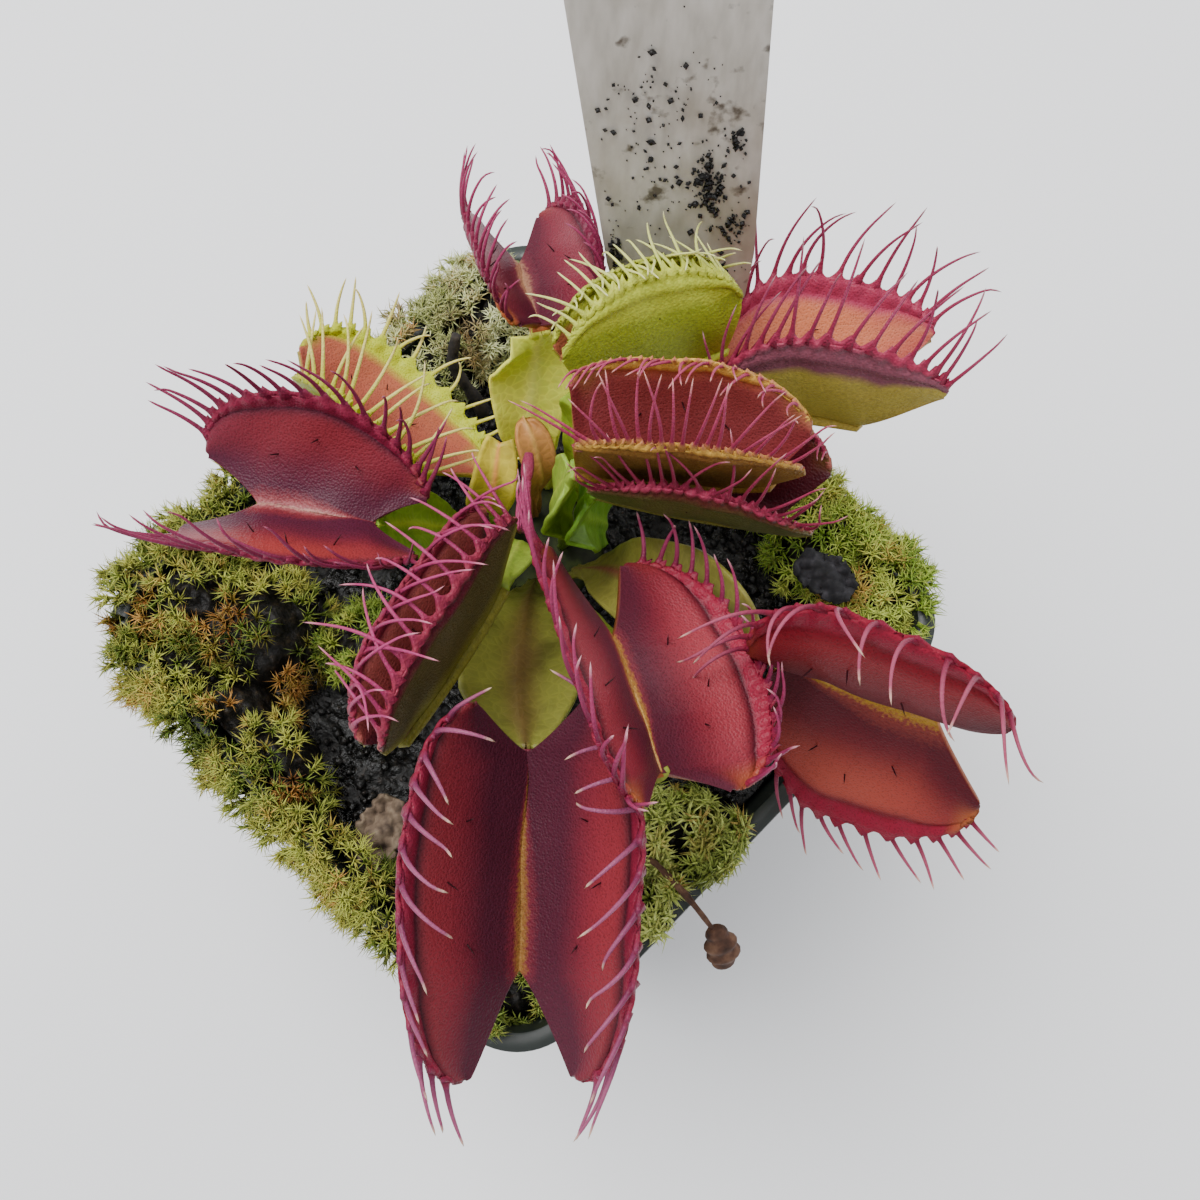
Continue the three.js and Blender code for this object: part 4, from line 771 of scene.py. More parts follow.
def trap_flesh(name, look):
    """Inside and outside each run through a row of colours from midrib to margin, moved a little
    by a noise of 3.3 mm, with the streak, the glow and the corners laid over and roughened by one
    of 0.4 mm. Glands dot the inside. Teeth fade from their foot's colour to a pale point."""
    material, shader = new_material(
        name, Roughness=0.42, IOR=1.42, Subsurface_Weight=0.06, Subsurface_Scale=1.0 * MM,
        Subsurface_Radius=(1.0, 0.35, 0.2), Specular_IOR_Level=look.get("gloss", 0.22),
        Coat_Weight=0.04, Coat_Roughness=0.15)
    place = add_node(material, "TexCoord").outputs["Object"]
    mark = {key: add_node(material, "Attribute", attribute_name=key).outputs["Fac"]
            for key in ("margin", "streak", "warm", "corner", "inside", "tooth")}
    cloud = add_node(material, "TexNoise", place, 300, 5)
    glands = add_node(material, "TexVoronoi", place, 4000)
    grain = add_node(material, "TexNoise", place, 2600, 3)
    moved = add_node(material, "Math", cloud, 0.11, mark["margin"], operation="MULTIPLY_ADD")
    level = add_node(material, "Math", moved, 0.055, operation="SUBTRACT")
    edge, dark = look["edge"], look.get("dark", 0.2)
    # The crease stop, darker than its neighbours in most looks, is painted shade in the fold inside
    # the rim.
    face = add_node(material, "ValToRGB", level, stops=[
        (0.02, look["deep"]), (dark, look["deep"]), (dark + 0.3, look["flesh"]),
        (edge - 0.1, look["near"]), (edge, look["crease"]), (edge + 0.05, look["rim"])])
    warm = linear(look["warm"])
    glowing = add_node(material, "Mix", mark["warm"], face, warm, **COLOURS)
    from_hinge = add_node(material, "Math", mark["streak"], look.get("broad", 1.0),
                          operation="DIVIDE")
    ragged = add_node(material, "Math", grain, 1.5, from_hinge, operation="MULTIPLY_ADD")
    halo = add_node(material, "MapRange", ragged, 3.2, 1.6, 0.0, 0.5)
    haloed = add_node(material, "Mix", halo, glowing, warm, **COLOURS)
    on_streak = add_node(material, "MapRange", ragged, 1.95, 1.35)
    # A paler line in the pale colour down the middle of the streak: partly a painted highlight
    # along the midrib.
    line = add_node(material, "MapRange", ragged, 1.3, 0.9)
    gold = add_node(material, "Mix", line, linear(look["streak"]), linear(look["pale"]),
                    **COLOURS)
    streaked = add_node(material, "Mix", on_streak, haloed, gold, **COLOURS)
    dots = add_node(material, "MapRange", glands, 0.1, 0.42, 0.66, 1.08)
    dotted = add_node(material, "Mix", 1.0, streaked, dots, **PRODUCT)
    outer = add_node(material, "ValToRGB", level, stops=[
        (0.0, look["corner"]), (0.3, look["back"]), (edge - 0.08, look["back"]),
        (edge, look["band"]), (0.95, look["band"]), (1.0, look["rim"])])
    mottled = add_node(material, "MapRange", grain, 0.3, 0.7, 0.78, 1.15)
    outside = add_node(material, "Mix", 1.0, outer, mottled, **PRODUCT)
    skin = add_node(material, "Mix", mark["inside"], outside, dotted, **COLOURS)
    cornered = add_node(material, "Mix", mark["corner"], skin, linear(look["corner"]), **COLOURS)
    spikes = add_node(material, "ValToRGB", mark["tooth"], stops=[
        (0.03, look["rim"]), (0.14, look["tooth"]), (0.5, look["mid"]), (0.82, look["mid"]),
        (1.0, look["tip"])])
    is_tooth = add_node(material, "MapRange", mark["tooth"], 0.0, 0.06)
    toothed = add_node(material, "Mix", is_tooth, cornered, spikes, **COLOURS)
    is_hair = add_node(material, "Math", mark["tooth"], -0.5, operation="LESS_THAN")
    whole = add_node(material, "Mix", is_hair, toothed, linear(HAIR_COLOUR), **COLOURS)
    pits = add_node(material, "Bump", Strength=0.55, Distance=0.12 * MM, Height=glands)
    uneven = add_node(material, "Bump", Strength=0.3, Distance=0.4 * MM, Height=cloud,
                      Normal=pits)
    plug(shader, Base_Color=whole, Normal=uneven)
    return material


for number, (name, leaf) in enumerate(LEAVES.items()):
    look = TRAP_LOOKS[name]
    points, faces, marks = make_trap(leaf, look, TRAP_SEED + number)
    trap = add_piece("trap_flesh_" + name, points, faces,
                     trap_flesh("waxy_trap_skin_" + name, look), marks)
    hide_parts("trap_" + name)

# ------------------------------------------------------------------ the leaf stalks
# The lower half of each leaf: a flat green blade with a thick middle rib, rising from a narrow
# foot on the crown, widening to rounded shoulders and pinched to a neck at the trap.
FOOT_RING, INNER_RING, STALK_SEAT = 6.6, 3.0, 0.8
STALK_FOOT, STALK_NECK, STALK_THICK = 2.2, 2.2, 0.75
STALK_ROWS, STALK_COLUMNS, RIB_BAND, BROAD_RIB = 70, 25, 0.3, 0.55
TROUGH, VEINS, VEIN_LIFT, RIB_LIFT, RIB_WIDTH = 0.16, 9, 0.07, 0.38, 1.6
STALK_LOOKS = {
    "front": (0x7A7A34, 0x5A5826, 0x5E4228), "middle": (0x8E9838, 0x6A782A, 0xA0A448),
    "right": (0x86803A, 0x6C642E, 0x803E3A), "inner_left": (0x8AA03A, 0x66802A, 0x9AA848),
    "left": (0x7FA035, 0x5A8424, 0xA8B83C), "lime": (0x8FAE3A, 0x6E9028, 0xB4C04A),
    # The back leaf's stalk is coloured much lighter than the others: painted light on it.
    "back": (0xEAEA64, 0xD4DC50, 0xECEA7C), "yellow": (0x9DB53A, 0x7A952C, 0xB8C450),
    "back_right": (0x93A53A, 0x6E862A, 0xB0B84A), "centre": (0x86A038, 0x62802A, 0x98AC42),
    "low": (0x709A32, 0x4C7426, 0x86AA3C),
}


def curve_through(knots, steps):
    """A centripetal Catmull-Rom curve through the knots, at even steps of its length, with its
    directions. The knots are led on past both ends by their mirror points."""
    knots = np.asarray(knots, float)
    knots = np.concatenate([2 * knots[:1] - knots[1:2], knots, 2 * knots[-1:] - knots[-2:-1]])
    gaps = np.sqrt(np.linalg.norm(np.diff(knots, axis=0), axis=1))
    q = np.linspace(0, 1, 60)[:, None]
    spans = []
    for n in range(1, len(knots) - 2):
        before, here, after = gaps[n - 1:n + 2]
        p0, p1, p2, p3 = knots[n - 1:n + 3]
        start = ((p1 - p0) / before - (p2 - p0) / (before + here) + (p2 - p1) / here) * here
        end = ((p2 - p1) / here - (p3 - p1) / (here + after) + (p3 - p2) / after) * here
        spans.append((2 * q ** 3 - 3 * q ** 2 + 1) * p1 + (q ** 3 - 2 * q ** 2 + q) * start
                     + (3 * q ** 2 - 2 * q ** 3) * p2 + (q ** 3 - q ** 2) * end)
    line = np.concatenate(spans)
    far = np.concatenate([[0], np.cumsum(np.linalg.norm(np.diff(line, axis=0), axis=1))])
    place = np.asarray(steps) * far[-1]
    points = np.stack([np.interp(place, far, line[:, n]) for n in range(3)], 1)
    return points, unit(np.gradient(points, axis=0))


def blade_marks(k, part):
    """How far along and across a blade each point lies, on both its faces."""
    return {"across": np.tile((part + 0 * k).ravel(), 2),
            "rise": np.tile((k + 0 * part).ravel(), 2)}


def make_stalk(leaf, seed):
    """A sheet along the stalk's curve. Its width swells to the shoulders and narrows in a
    quarter circle to the neck, and the shoulders may reach on past it by the ears. Its section
    is a shallow trough with a rib, its margins wave, and side veins lift it in low ridges."""
    _, side, mouth = trap_axes(leaf)
    turn = np.radians(leaf["foot"])
    ring = INNER_RING if leaf.get("inner") else FOOT_RING
    outward = np.array([np.cos(turn), np.sin(turn), 0])
    foot = np.array([CROWN["x"], CROWN["y"], CROWN["top"] + STALK_SEAT - 0.6]) + ring * outward
    rib = leaf["midrib"] / 2
    neck = lobe_point(leaf, 1, -rib / (rib + leaf["root_run"]), 0.0) - 0.25 * mouth
    k = np.linspace(0, 1, STALK_ROWS)
    path, heading = curve_through([foot, *leaf["arch"], neck], k)
    foot_side = np.cross([0, 0, 1], outward)
    end_side = side if foot_side @ side > 0 else -side
    across = foot_side + (end_side - foot_side) * k[:, None]
    across = unit(across - (across * heading).sum(1, keepdims=True) * heading)
    up = np.cross(heading, across)
    down = (up[:, 2] < 0) | ((np.abs(up[:, 2]) < 0.2) & (up @ outward > 0))
    up = np.where(down[:, None], -up, up)
    swell = STALK_FOOT + (leaf["wing"] - STALK_FOOT) * smoothstep(k, 0.05, 0.72)
    start, end, bend, power = leaf.get("shoulder", (0.74, 0.92, 2, 0.5))
    shoulder = np.clip((k - start) / (end - start), 0, 1)
    width = STALK_NECK + (swell - STALK_NECK) * (1 - shoulder ** bend) ** power
    part = np.linspace(-1, 1, STALK_COLUMNS)[None, :]
    width = (width * (1 + 0.05 * np.sin(14 * k + seed)))[:, None]
    waves = leaf.get("waves", 0.035) * width * np.abs(part) ** 3
    waves = waves * np.sin(17 * k[:, None] + 2.1 * part + seed)
    veins = np.cos(2 * np.pi * (k[:, None] * VEINS - 1.1 * np.abs(part)))
    veins = VEIN_LIFT * np.abs(part) * veins
    grid = (path[:, None] + (part * width / 2)[..., None] * across[:, None]
            + (TROUGH * width * np.abs(part) ** 1.6 + waves + veins)[..., None] * up[:, None])
    spread = (width - STALK_NECK) / max(leaf["wing"] - STALK_NECK, 0.1)
    ears = leaf.get("ears", 0) * spread * part ** 2 * smoothstep(k, 0.45, 0.8)[:, None]
    grid = grid + ears[..., None] * heading[-1]
    ridge = RIB_LIFT * np.exp(-(part * width / RIB_WIDTH) ** 2)
    half = STALK_THICK / 2 * (1 - 0.45 * np.abs(part) ** 2) + ridge
    points, faces = sheet(grid, half + 0 * k[:, None])
    return in_pot(points), faces, blade_marks(k[:, None], part)


def stalk_flesh(name, look, band=RIB_BAND):
    """Leaf skin, waxy and a little translucent: green along the wing in clouds of 5.6 mm, darker
    to the foot as painted shade among the leaves, a band along the rib in its own colour, and net
    veins round cells of 1.1 mm."""
    green, dark, rib = look
    material, shader = new_material(
        name, Roughness=0.42, IOR=1.42, Subsurface_Weight=0.15, Subsurface_Scale=1.2 * MM,
        Subsurface_Radius=(0.5, 0.8, 0.2), Specular_IOR_Level=0.3)
    place = add_node(material, "TexCoord").outputs["Object"]
    across, rise = (add_node(material, "Attribute", attribute_name=key).outputs["Fac"]
                    for key in ("across", "rise"))
    cloud = add_node(material, "TexNoise", place, 180, 6)
    tone = add_node(material, "ValToRGB", cloud, stops=[(0.3, dark), (0.52, green), (0.75, green)])
    out = add_node(material, "Math", across, operation="ABSOLUTE")
    middle = add_node(material, "MapRange", out, band, 0.0, 0.0, 0.8,
                      interpolation_type="SMOOTHSTEP")
    ribbed = add_node(material, "Mix", middle, tone, linear(rib), **COLOURS)
    net = add_node(material, "TexVoronoi", place, 900,
                   feature="DISTANCE_TO_EDGE").outputs["Distance"]
    vein = add_node(material, "MapRange", net, 0.0, 0.12, 1.12, 0.96)
    veined = add_node(material, "Mix", 1.0, ribbed, vein, **PRODUCT)
    # Painted shade: the blade darkens over the lowest part of its run down to its foot among the
    # leaves.
    shade = add_node(material, "MapRange", rise, 0.0, 0.45, 0.6, 1.0)
    shaded_at_foot = add_node(material, "Mix", 1.0, veined, shade, **PRODUCT)
    lumps = add_node(material, "Bump", Strength=0.3, Distance=0.3 * MM, Height=net)
    plug(shader, Base_Color=shaded_at_foot, Normal=lumps)
    return material


for number, (name, leaf) in enumerate(LEAVES.items()):
    points, faces, marks = make_stalk(leaf, 1.7 * number)
    stalk = add_piece("stalk_blade_" + name, points, faces,
                      stalk_flesh("leaf_blade_" + name, STALK_LOOKS[name],
                                  BROAD_RIB if name == "front" else RIB_BAND), marks)
    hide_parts("stalk_" + name)

# ------------------------------------------------------------------ the young leaves
# Two leaves that are still unfolding in the heart of the plant: a heart-shaped yellow-olive
# blade with a closed pink trap bud beside it, and a tan one that still curls back on itself.
YOUNG = {
    "heart": dict(path=[(-0.6, 12.5, 71.6), (-3, 11, 84), (-2.8, 9, 94), (-1.8, 10, 98.5),
                        (-1.2, 13, 100.5)], width=5, turn=0, ears=0.8,
                  look=(0xC2B03A, 0x9A8A2C, 0xD08A4A)),
    "tan": dict(path=[(1, 14.6, 71.6), (1.5, 15, 80), (2.2, 15, 86), (1.6, 17.5, 89.5),
                      (0.4, 20, 90.5)], width=4.2, turn=35, ears=-0.8,
                look=(0xB9814A, 0x8E5A30, 0xC89A5A)),
}
BUD = dict(root=(1.8, 12.2, 99.6), tip=(1.5, 7.8, 100), radius=0.7, tuft=4.6, teeth=14)


def make_young_leaf(young, seed):
    """A narrow stalk whose end spreads into a small blade with a notched, rounded tip."""
    k = np.linspace(0, 1, 60)
    path, heading = curve_through(young["path"], k)
    turn = np.radians(young["turn"])
    across = np.array([np.cos(turn), np.sin(turn), 0])
    across = unit(across - (heading @ across)[:, None] * heading)
    up = np.cross(heading, across)
    swell = 1.6 + (young["width"] - 1.6) * smoothstep(k, 0.3, 0.8)
    width = swell * np.where(k > 0.8, np.sqrt(np.maximum(1 - ((k - 0.8) / 0.23) ** 2, 0.2)), 1)
    part = np.linspace(-1, 1, 17)[None, :]
    ears = young["ears"] * np.abs(part) * smoothstep(k, 0.85, 1.0)[:, None]
    grid = (path[:, None] + (part * width[:, None] / 2)[..., None] * across[:, None]
            + ears[..., None] * heading[:, None]
            - (0.18 * swell[:, None] * part ** 2
               + 0.08 * np.sin(20 * k[:, None] + seed + 3 * part))[..., None] * up[:, None])
    half = 0.42 - 0.22 * part ** 2 + 0.25 * np.exp(-(part * 4) ** 2)
    points, faces = sheet(grid, half + 0 * k[:, None])
    return in_pot(points), faces, blade_marks(k[:, None], part)


def make_bud(bud):
    """A pointed closed trap: a spindle, with its teeth laid together beyond the tip."""
    start, end = np.array(bud["root"]), np.array(bud["tip"])
    along = unit(end - start)
    side = unit(np.cross([0, 0, 1.0], along))
    up = np.cross(along, side)
    q = np.linspace(0, 1, 20)
    girth = bud["radius"] * (0.35 + 0.65 * np.sin(np.pi * np.minimum(q + 0.15, 1)))
    path = (start + q[:, None] * (end + 0.4 * along - start))[None]
    body = strands(path, side[None], girth[None], 0.8 * girth[None], 16)
    turn = 2 * np.pi * np.arange(bud["teeth"]) / bud["teeth"]
    out = np.cos(turn)[:, None] * side + np.sin(turn)[:, None] * up
    q = np.linspace(-0.25, 1, 9)[None, :, None]
    splay = 0.45 + 0.5 * np.sin(np.pi * np.clip(q, 0, 1))
    paths = end + q * bud["tuft"] * along + bud["radius"] * splay * out[:, None]
    taper = 0.05 + 0.2 * (1 - np.clip(q[..., 0], 0, 1))
    teeth = strands(paths, out, taper, taper, 6)
    points, faces = join(body, teeth)
    tooth = np.concatenate([np.zeros(len(body[0])), np.full(len(teeth[0]), 0.5)])
    return marked(in_pot(points), faces, margin=0.6, tooth=tooth)


for number, (name, young) in enumerate(YOUNG.items()):
    points, faces, marks = make_young_leaf(young, 2.3 * number)
    blade = add_piece("young_blade_" + name, points, faces,
                      stalk_flesh("young_leaf_blade_" + name, young["look"]), marks)
    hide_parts("young_leaf_" + name)
points, faces, marks = make_bud(BUD)
bud = add_piece("young_trap_bud", points, faces, trap_flesh("waxy_bud_skin", dict(
    streak=0x9A4A48, pale=0x9A4A48, deep=0x6A2034, flesh=0x7A2840, near=0x842C48, warm=0x842C48,
    crease=0x6A2034, rim=0x84284A, back=0x7A4A30, band=0x84284A, tooth=0x86264A, mid=0x9C3860,
    tip=0xD098A4, corner=0x8A4040, edge=0.86)), marks)
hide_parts("young_bud_heart")

# ------------------------------------------------------------------ the moss
# Living moss cushions on the peat: fine feathery tufts on the left bank with dry orange patches
# and black gaps, star-shaped shoots at the front right, and a dense bright bank on the right.

# domes: place, two radii and height. tufts, shoots, leaves: tufts a square mm of dome, shoots a
# tuft and leaves a shoot. tuft, leaf, wide, splay: a tuft's size, and a leaf's length, width and
# spread. over: how far tufts may stand past the rim. bare, dry: spots with their reach. gaps: the
# lower, the more tufts are missing inside the rim. looks: leaf foot, middle and tip, and dried.
# The looks' dark foot and pale tip are partly painted shade among the shoots and painted light on
# the tips.
MOSS = {
    "left": dict(
        domes=[(-42, 3, 8, 7, 8.5), (-37, 13, 6, 6, 8), (-34, -1, 9, 8, 7.5), (-36, -12, 7, 7, 8),
               (-30, -18, 6, 7, 8), (-25.5, -27, 5, 5.5, 8), (-16, -35, 6, 5, 7.5),
               (-41.5, -5, 6, 6, 7.5), (-21, -31, 5, 5, 7.5)], over=0.8,
        tufts=0.24, tuft=1.6, shoots=8, leaves=9, leaf=2.9, wide=0.11, splay=(0.12, 0.75),
        bare=[(-33.5, 6.5, 2.6), (-29, -2, 2.6), (-24.5, -13.5, 3.4), (-21.5, -22, 2.6),
              (-31.5, -11, 1.9), (-25, -30, 1.4)],
        dry=[(-36.8, -0.8, 3.4), (-28.5, -8, 3.8), (-27, -21, 1.6)],
        looks=(0x182008, 0x566A24, 0xB0B650, 0x8E5A26), gaps=0.22),
    "inner": dict(
        domes=[(-20, -2, 5, 4.5, 4)], over=0, tufts=0.3, tuft=1.4, shoots=9, leaves=8, leaf=2.6,
        wide=0.12, splay=(0.25, 1.0), bare=[], dry=[],
        looks=(0x2A3A12, 0x64802A, 0xA0B848, 0x7E7A2C)),
    "front": dict(
        domes=[(-1, -43, 5, 4, 5)], over=0.6, tufts=0.3, tuft=1.5, shoots=8, leaves=9, leaf=2.2,
        wide=0.13, splay=(0.4, 1.3), bare=[], dry=[],
        looks=(0x2E3A16, 0x6C8030, 0xA0B050, 0x7E7A2C)),
    # The front-right bank's colours are lightened as painted light, for the traps' shadow that lies
    # on it.
    "front_right": dict(
        domes=[(18, -26, 7, 5, 6.5), (11, -33, 6, 5, 6)], over=0.3, tufts=0.42, tuft=1.3, shoots=4,
        leaves=12, leaf=2.7, wide=0.22, splay=(0.7, 1.9), bare=[], dry=[],
        looks=(0x48541F, 0x96A648, 0xCCD876, 0x9A8A40)),
    "right": dict(
        domes=[(42, 3, 6, 7, 7), (37, 11, 6, 6, 8), (31, 18, 5, 4, 7)], over=0.8, tufts=0.34,
        tuft=1.6, shoots=9, leaves=8, leaf=2.9, wide=0.13, splay=(0.2, 0.9), bare=[],
        dry=[(39, 3, 2.0)], looks=(0x3E521A, 0x8AAA3A, 0xCCDC64, 0x9A8A3A)),
    "back": dict(
        domes=[(-6, 41, 6, 6, 8), (-13, 35, 6, 5, 7.5)], over=1.2, tufts=0.34, tuft=1.5, shoots=10,
        leaves=8, leaf=2.5, wide=0.12, splay=(0.2, 0.9), bare=[], dry=[(-8, 37, 2.6)],
        looks=(0x5A6438, 0xB0B86E, 0xDCE2A8, 0xA8946A)),
}
GOLDEN_TURN, SQUARE, SEAM, MOSS_SEED = 2.39996, np.sqrt(0.5), 0.4, 40
BURIED, MISSING, DRIED, RIM_ZONE = 0.55, 0.08, 0.05, 5
FRINGE_RUN, FRINGE_STEP = 0.43, 0.019


def make_fringe(x, y, rx, ry, chance):
    """Tufts in a row along each side of the rim, as far as the dome reaches, that lean out."""
    run = np.arange(-FRINGE_RUN, FRINGE_RUN, FRINGE_STEP) * POT_RIM
    out, run = np.meshgrid(np.radians([45, 135, 225, 315]), run)
    out, run = out.ravel(), run.ravel() + chance.uniform(-0.5, 0.5, out.size)
    far = POT_RIM / 2 - chance.uniform(0.1, 1.9, out.size)
    fringe = np.stack([far * np.cos(out) - run * np.sin(out),
                       far * np.sin(out) + run * np.cos(out),
                       POT_HEIGHT + chance.uniform(0.4, 1.2, out.size)], 1)
    held = np.hypot((fringe[:, 0] - x) / rx, (fringe[:, 1] - y) / ry) < 1.1
    return fringe[held], unit(np.stack([np.cos(out), np.sin(out), 1.1 + 0 * out], 1))[held]


def make_core(x, y, rx, ry, height, seed):
    """The dark dome under the tufts: an ellipsoid roughened by noise of two sizes, and held
    inside the pot's walls."""
    level = np.concatenate([[-0.1], np.sin(np.linspace(0, np.pi / 2, 22))])[:, None]
    girth = np.sqrt(np.maximum(1 - np.clip(level, 0, 1) ** 2, 0.0004)) * 0.9
    about = np.linspace(0, 2 * np.pi, 73)[:-1][None, :]
    core_x, core_y = x + rx * girth * np.cos(about), y + ry * girth * np.sin(about)
    rough = 0.7 * lattice_noise(core_x, core_y, 1.6, seed) + 0.4 * lattice_noise(
        core_x, core_y, 0.8, seed + 9)
    core_z = SOIL_TOP - 0.8 + 0.74 * height * level + rough * smoothstep(level, 0, 0.3)
    pot_x, pot_y = (core_x + core_y) * SQUARE, (core_y - core_x) * SQUARE
    limit = pot_half(SOIL_TOP) - POT_WALL - SEAM
    pot_x, pot_y = np.clip(pot_x, -limit, limit), np.clip(pot_y, -limit, limit)
    return ring_grid(np.stack([(pot_x - pot_y) * SQUARE, (pot_x + pot_y) * SQUARE, core_z], 2))


def make_cushion(moss, seed):
    """Tufts stand evenly round each dome by the golden angle, at different heights, and where a
    bank grows over the rim a row of tufts lines it. None stands on a bare spot or hangs out past
    the rim, so the dark core shows between. In a tuft the middle shoots are the highest and the
    outer ones lean away. A shoot's leaves spread round it in a star and arch outwards. The marks
    are the nearness to a leaf's tip, the tone of a tuft and of the patch it stands in, and how
    dry it is."""
    chance = np.random.default_rng(seed)
    domes = np.array(moss["domes"], float)
    middles, normals, cores = [], [], []
    for x, y, rx, ry, height in domes:
        count = round(moss["tufts"] * np.pi * rx * ry)
        lift = 1 - (np.arange(count) + chance.uniform(0.2, 0.8, count)) / count
        turn = GOLDEN_TURN * np.arange(count) + x + chance.normal(0, 0.15, count)
        ring = np.sqrt(1 - lift ** 2)
        place = np.stack([x + rx * ring * np.cos(turn), y + ry * ring * np.sin(turn),
                          SOIL_TOP - 0.3 + height * 0.84 * lift], 1)
        place[:, 2] += 0.5 * chance.normal(size=count)
        apart = (place[:, None] - np.column_stack([domes[:, :2], np.full(len(domes), SOIL_TOP)])
                 ) / domes[:, 2:5]
        buried = ((apart ** 2).sum(2) < BURIED).any(1)
        kept = ~buried & (chance.random(count) > MISSING)
        for spot_x, spot_y, reach in moss["bare"]:
            kept &= np.hypot(place[:, 0] - spot_x, place[:, 1] - spot_y) > reach
        out_by = np.abs(in_pot(place)[:, :2]).max(1)
        kept &= out_by < POT_RIM / 2 + moss["over"]
        thin = lattice_noise(place[:, 0], place[:, 1], 3.0, seed + 5) > moss.get("gaps", 1)
        kept &= ~(thin & (out_by < POT_RIM / 2 - RIM_ZONE))
        middles.append(place[kept])
        normals.append(unit(np.stack([ring * np.cos(turn), ring * np.sin(turn), 0.45 + lift],
                                     1))[kept])
        if moss["over"] > 0.5:
            fringe, lean = make_fringe(x, y, rx, ry, chance)
            middles.append(fringe)
            normals.append(lean)
        cores.append(make_core(x, y, rx, ry, height, seed))
    middle, normal = np.concatenate(middles), np.concatenate(normals)
    tufts, shoots, leaves = len(middle), moss["shoots"], moss["leaves"]
    side = unit(np.cross(normal, [0.3, 0.9, 0.1]))
    ahead = np.cross(normal, side)
    out = np.sqrt(chance.random((tufts, shoots, 1)))
    turn = chance.uniform(0, 2 * np.pi, (tufts, shoots, 1))
    away = np.cos(turn) * side[:, None] + np.sin(turn) * ahead[:, None]
    size = moss["tuft"] * chance.uniform(0.5, 1.35, (tufts, 1, 1))
    spot = middle[:, None] + size * (out * away + 0.55 * (1 - out ** 2) * normal[:, None])
    up = unit(normal[:, None] + 0.85 * out * away + 0.16 * chance.normal(size=spot.shape))
    spot, up = spot.reshape(-1, 3), up.reshape(-1, 3)
    out_by = np.abs(in_pot(spot)[:, :2]).max(1)
    over_rim = (out_by > pot_half(SOIL_TOP) - POT_WALL - 0.8) & (spot[:, 2] < POT_HEIGHT + SEAM)
    spot[:, 2] = np.where(over_rim, POT_HEIGHT + SEAM + 0.8 * chance.random(len(spot)), spot[:, 2])
    side = unit(np.cross(up, chance.normal(size=up.shape)))
    ahead = np.cross(up, side)
    turn = 2 * np.pi * np.arange(leaves) / leaves + chance.uniform(-0.3, 0.3, (len(spot), leaves))
    around = np.cos(turn)[..., None] * side[:, None] + np.sin(turn)[..., None] * ahead[:, None]
    splay = chance.uniform(*moss["splay"], (len(spot), leaves, 1))
    length = moss["leaf"] * chance.uniform(0.6, 1.15, (len(spot), leaves, 1))
    start = spot[:, None] - 0.5 * up[:, None]
    bend = start + length * 0.55 * unit(up[:, None] + 0.5 * splay * around)
    point = start + length * unit(up[:, None] + 1.5 * splay * around)
    paths = np.stack([start + 0 * bend, bend, point], 2).reshape(-1, 3, 3)
    flat = np.cross(up[:, None] + 0 * around, around).reshape(-1, 3)
    wide = np.array([1.1, 1.0, 0.0])[None] * moss["wide"]
    wide = wide * chance.uniform(0.8, 1.25, (len(paths), 1))
    points, faces = join(*cores, strands(paths, flat, wide, wide * 0.4, 3))
    cored, corners = sum(len(core[0]) for core in cores), leaves * 7
    patch = 0.4 * lattice_noise(middle[:, :1], middle[:, 1:2], 5.0, seed + 3)
    tone = np.clip(0.48 + patch + chance.normal(0, 0.13, (tufts, 1)) - 0.14 * out[..., 0] ** 2
                   + chance.normal(0, 0.09, (tufts, shoots)), 0, 1)
    dry = 0.8 * (chance.random((tufts, 1)) < DRIED)
    for x, y, reach in moss["dry"]:
        far = np.hypot(middle[:, :1] - x, middle[:, 1:2] - y) / reach
        dry = np.maximum(dry, np.exp(-far ** 4))
    dry = np.clip(dry + 0 * tone + chance.normal(0, 0.25, tone.shape), 0, 1)
    tips = np.tile(np.array([0, 0, 0, 0.55, 0.55, 0.55, 1.0]), len(paths))
    marks = {"tip": np.concatenate([np.zeros(cored), tips]),
             "tone": np.concatenate([np.full(cored, -1.0), np.repeat(tone.ravel(), corners)]),
             "dry": np.concatenate([np.zeros(cored), np.repeat(dry.ravel(), corners)])}
    return in_pot(points), faces, marks


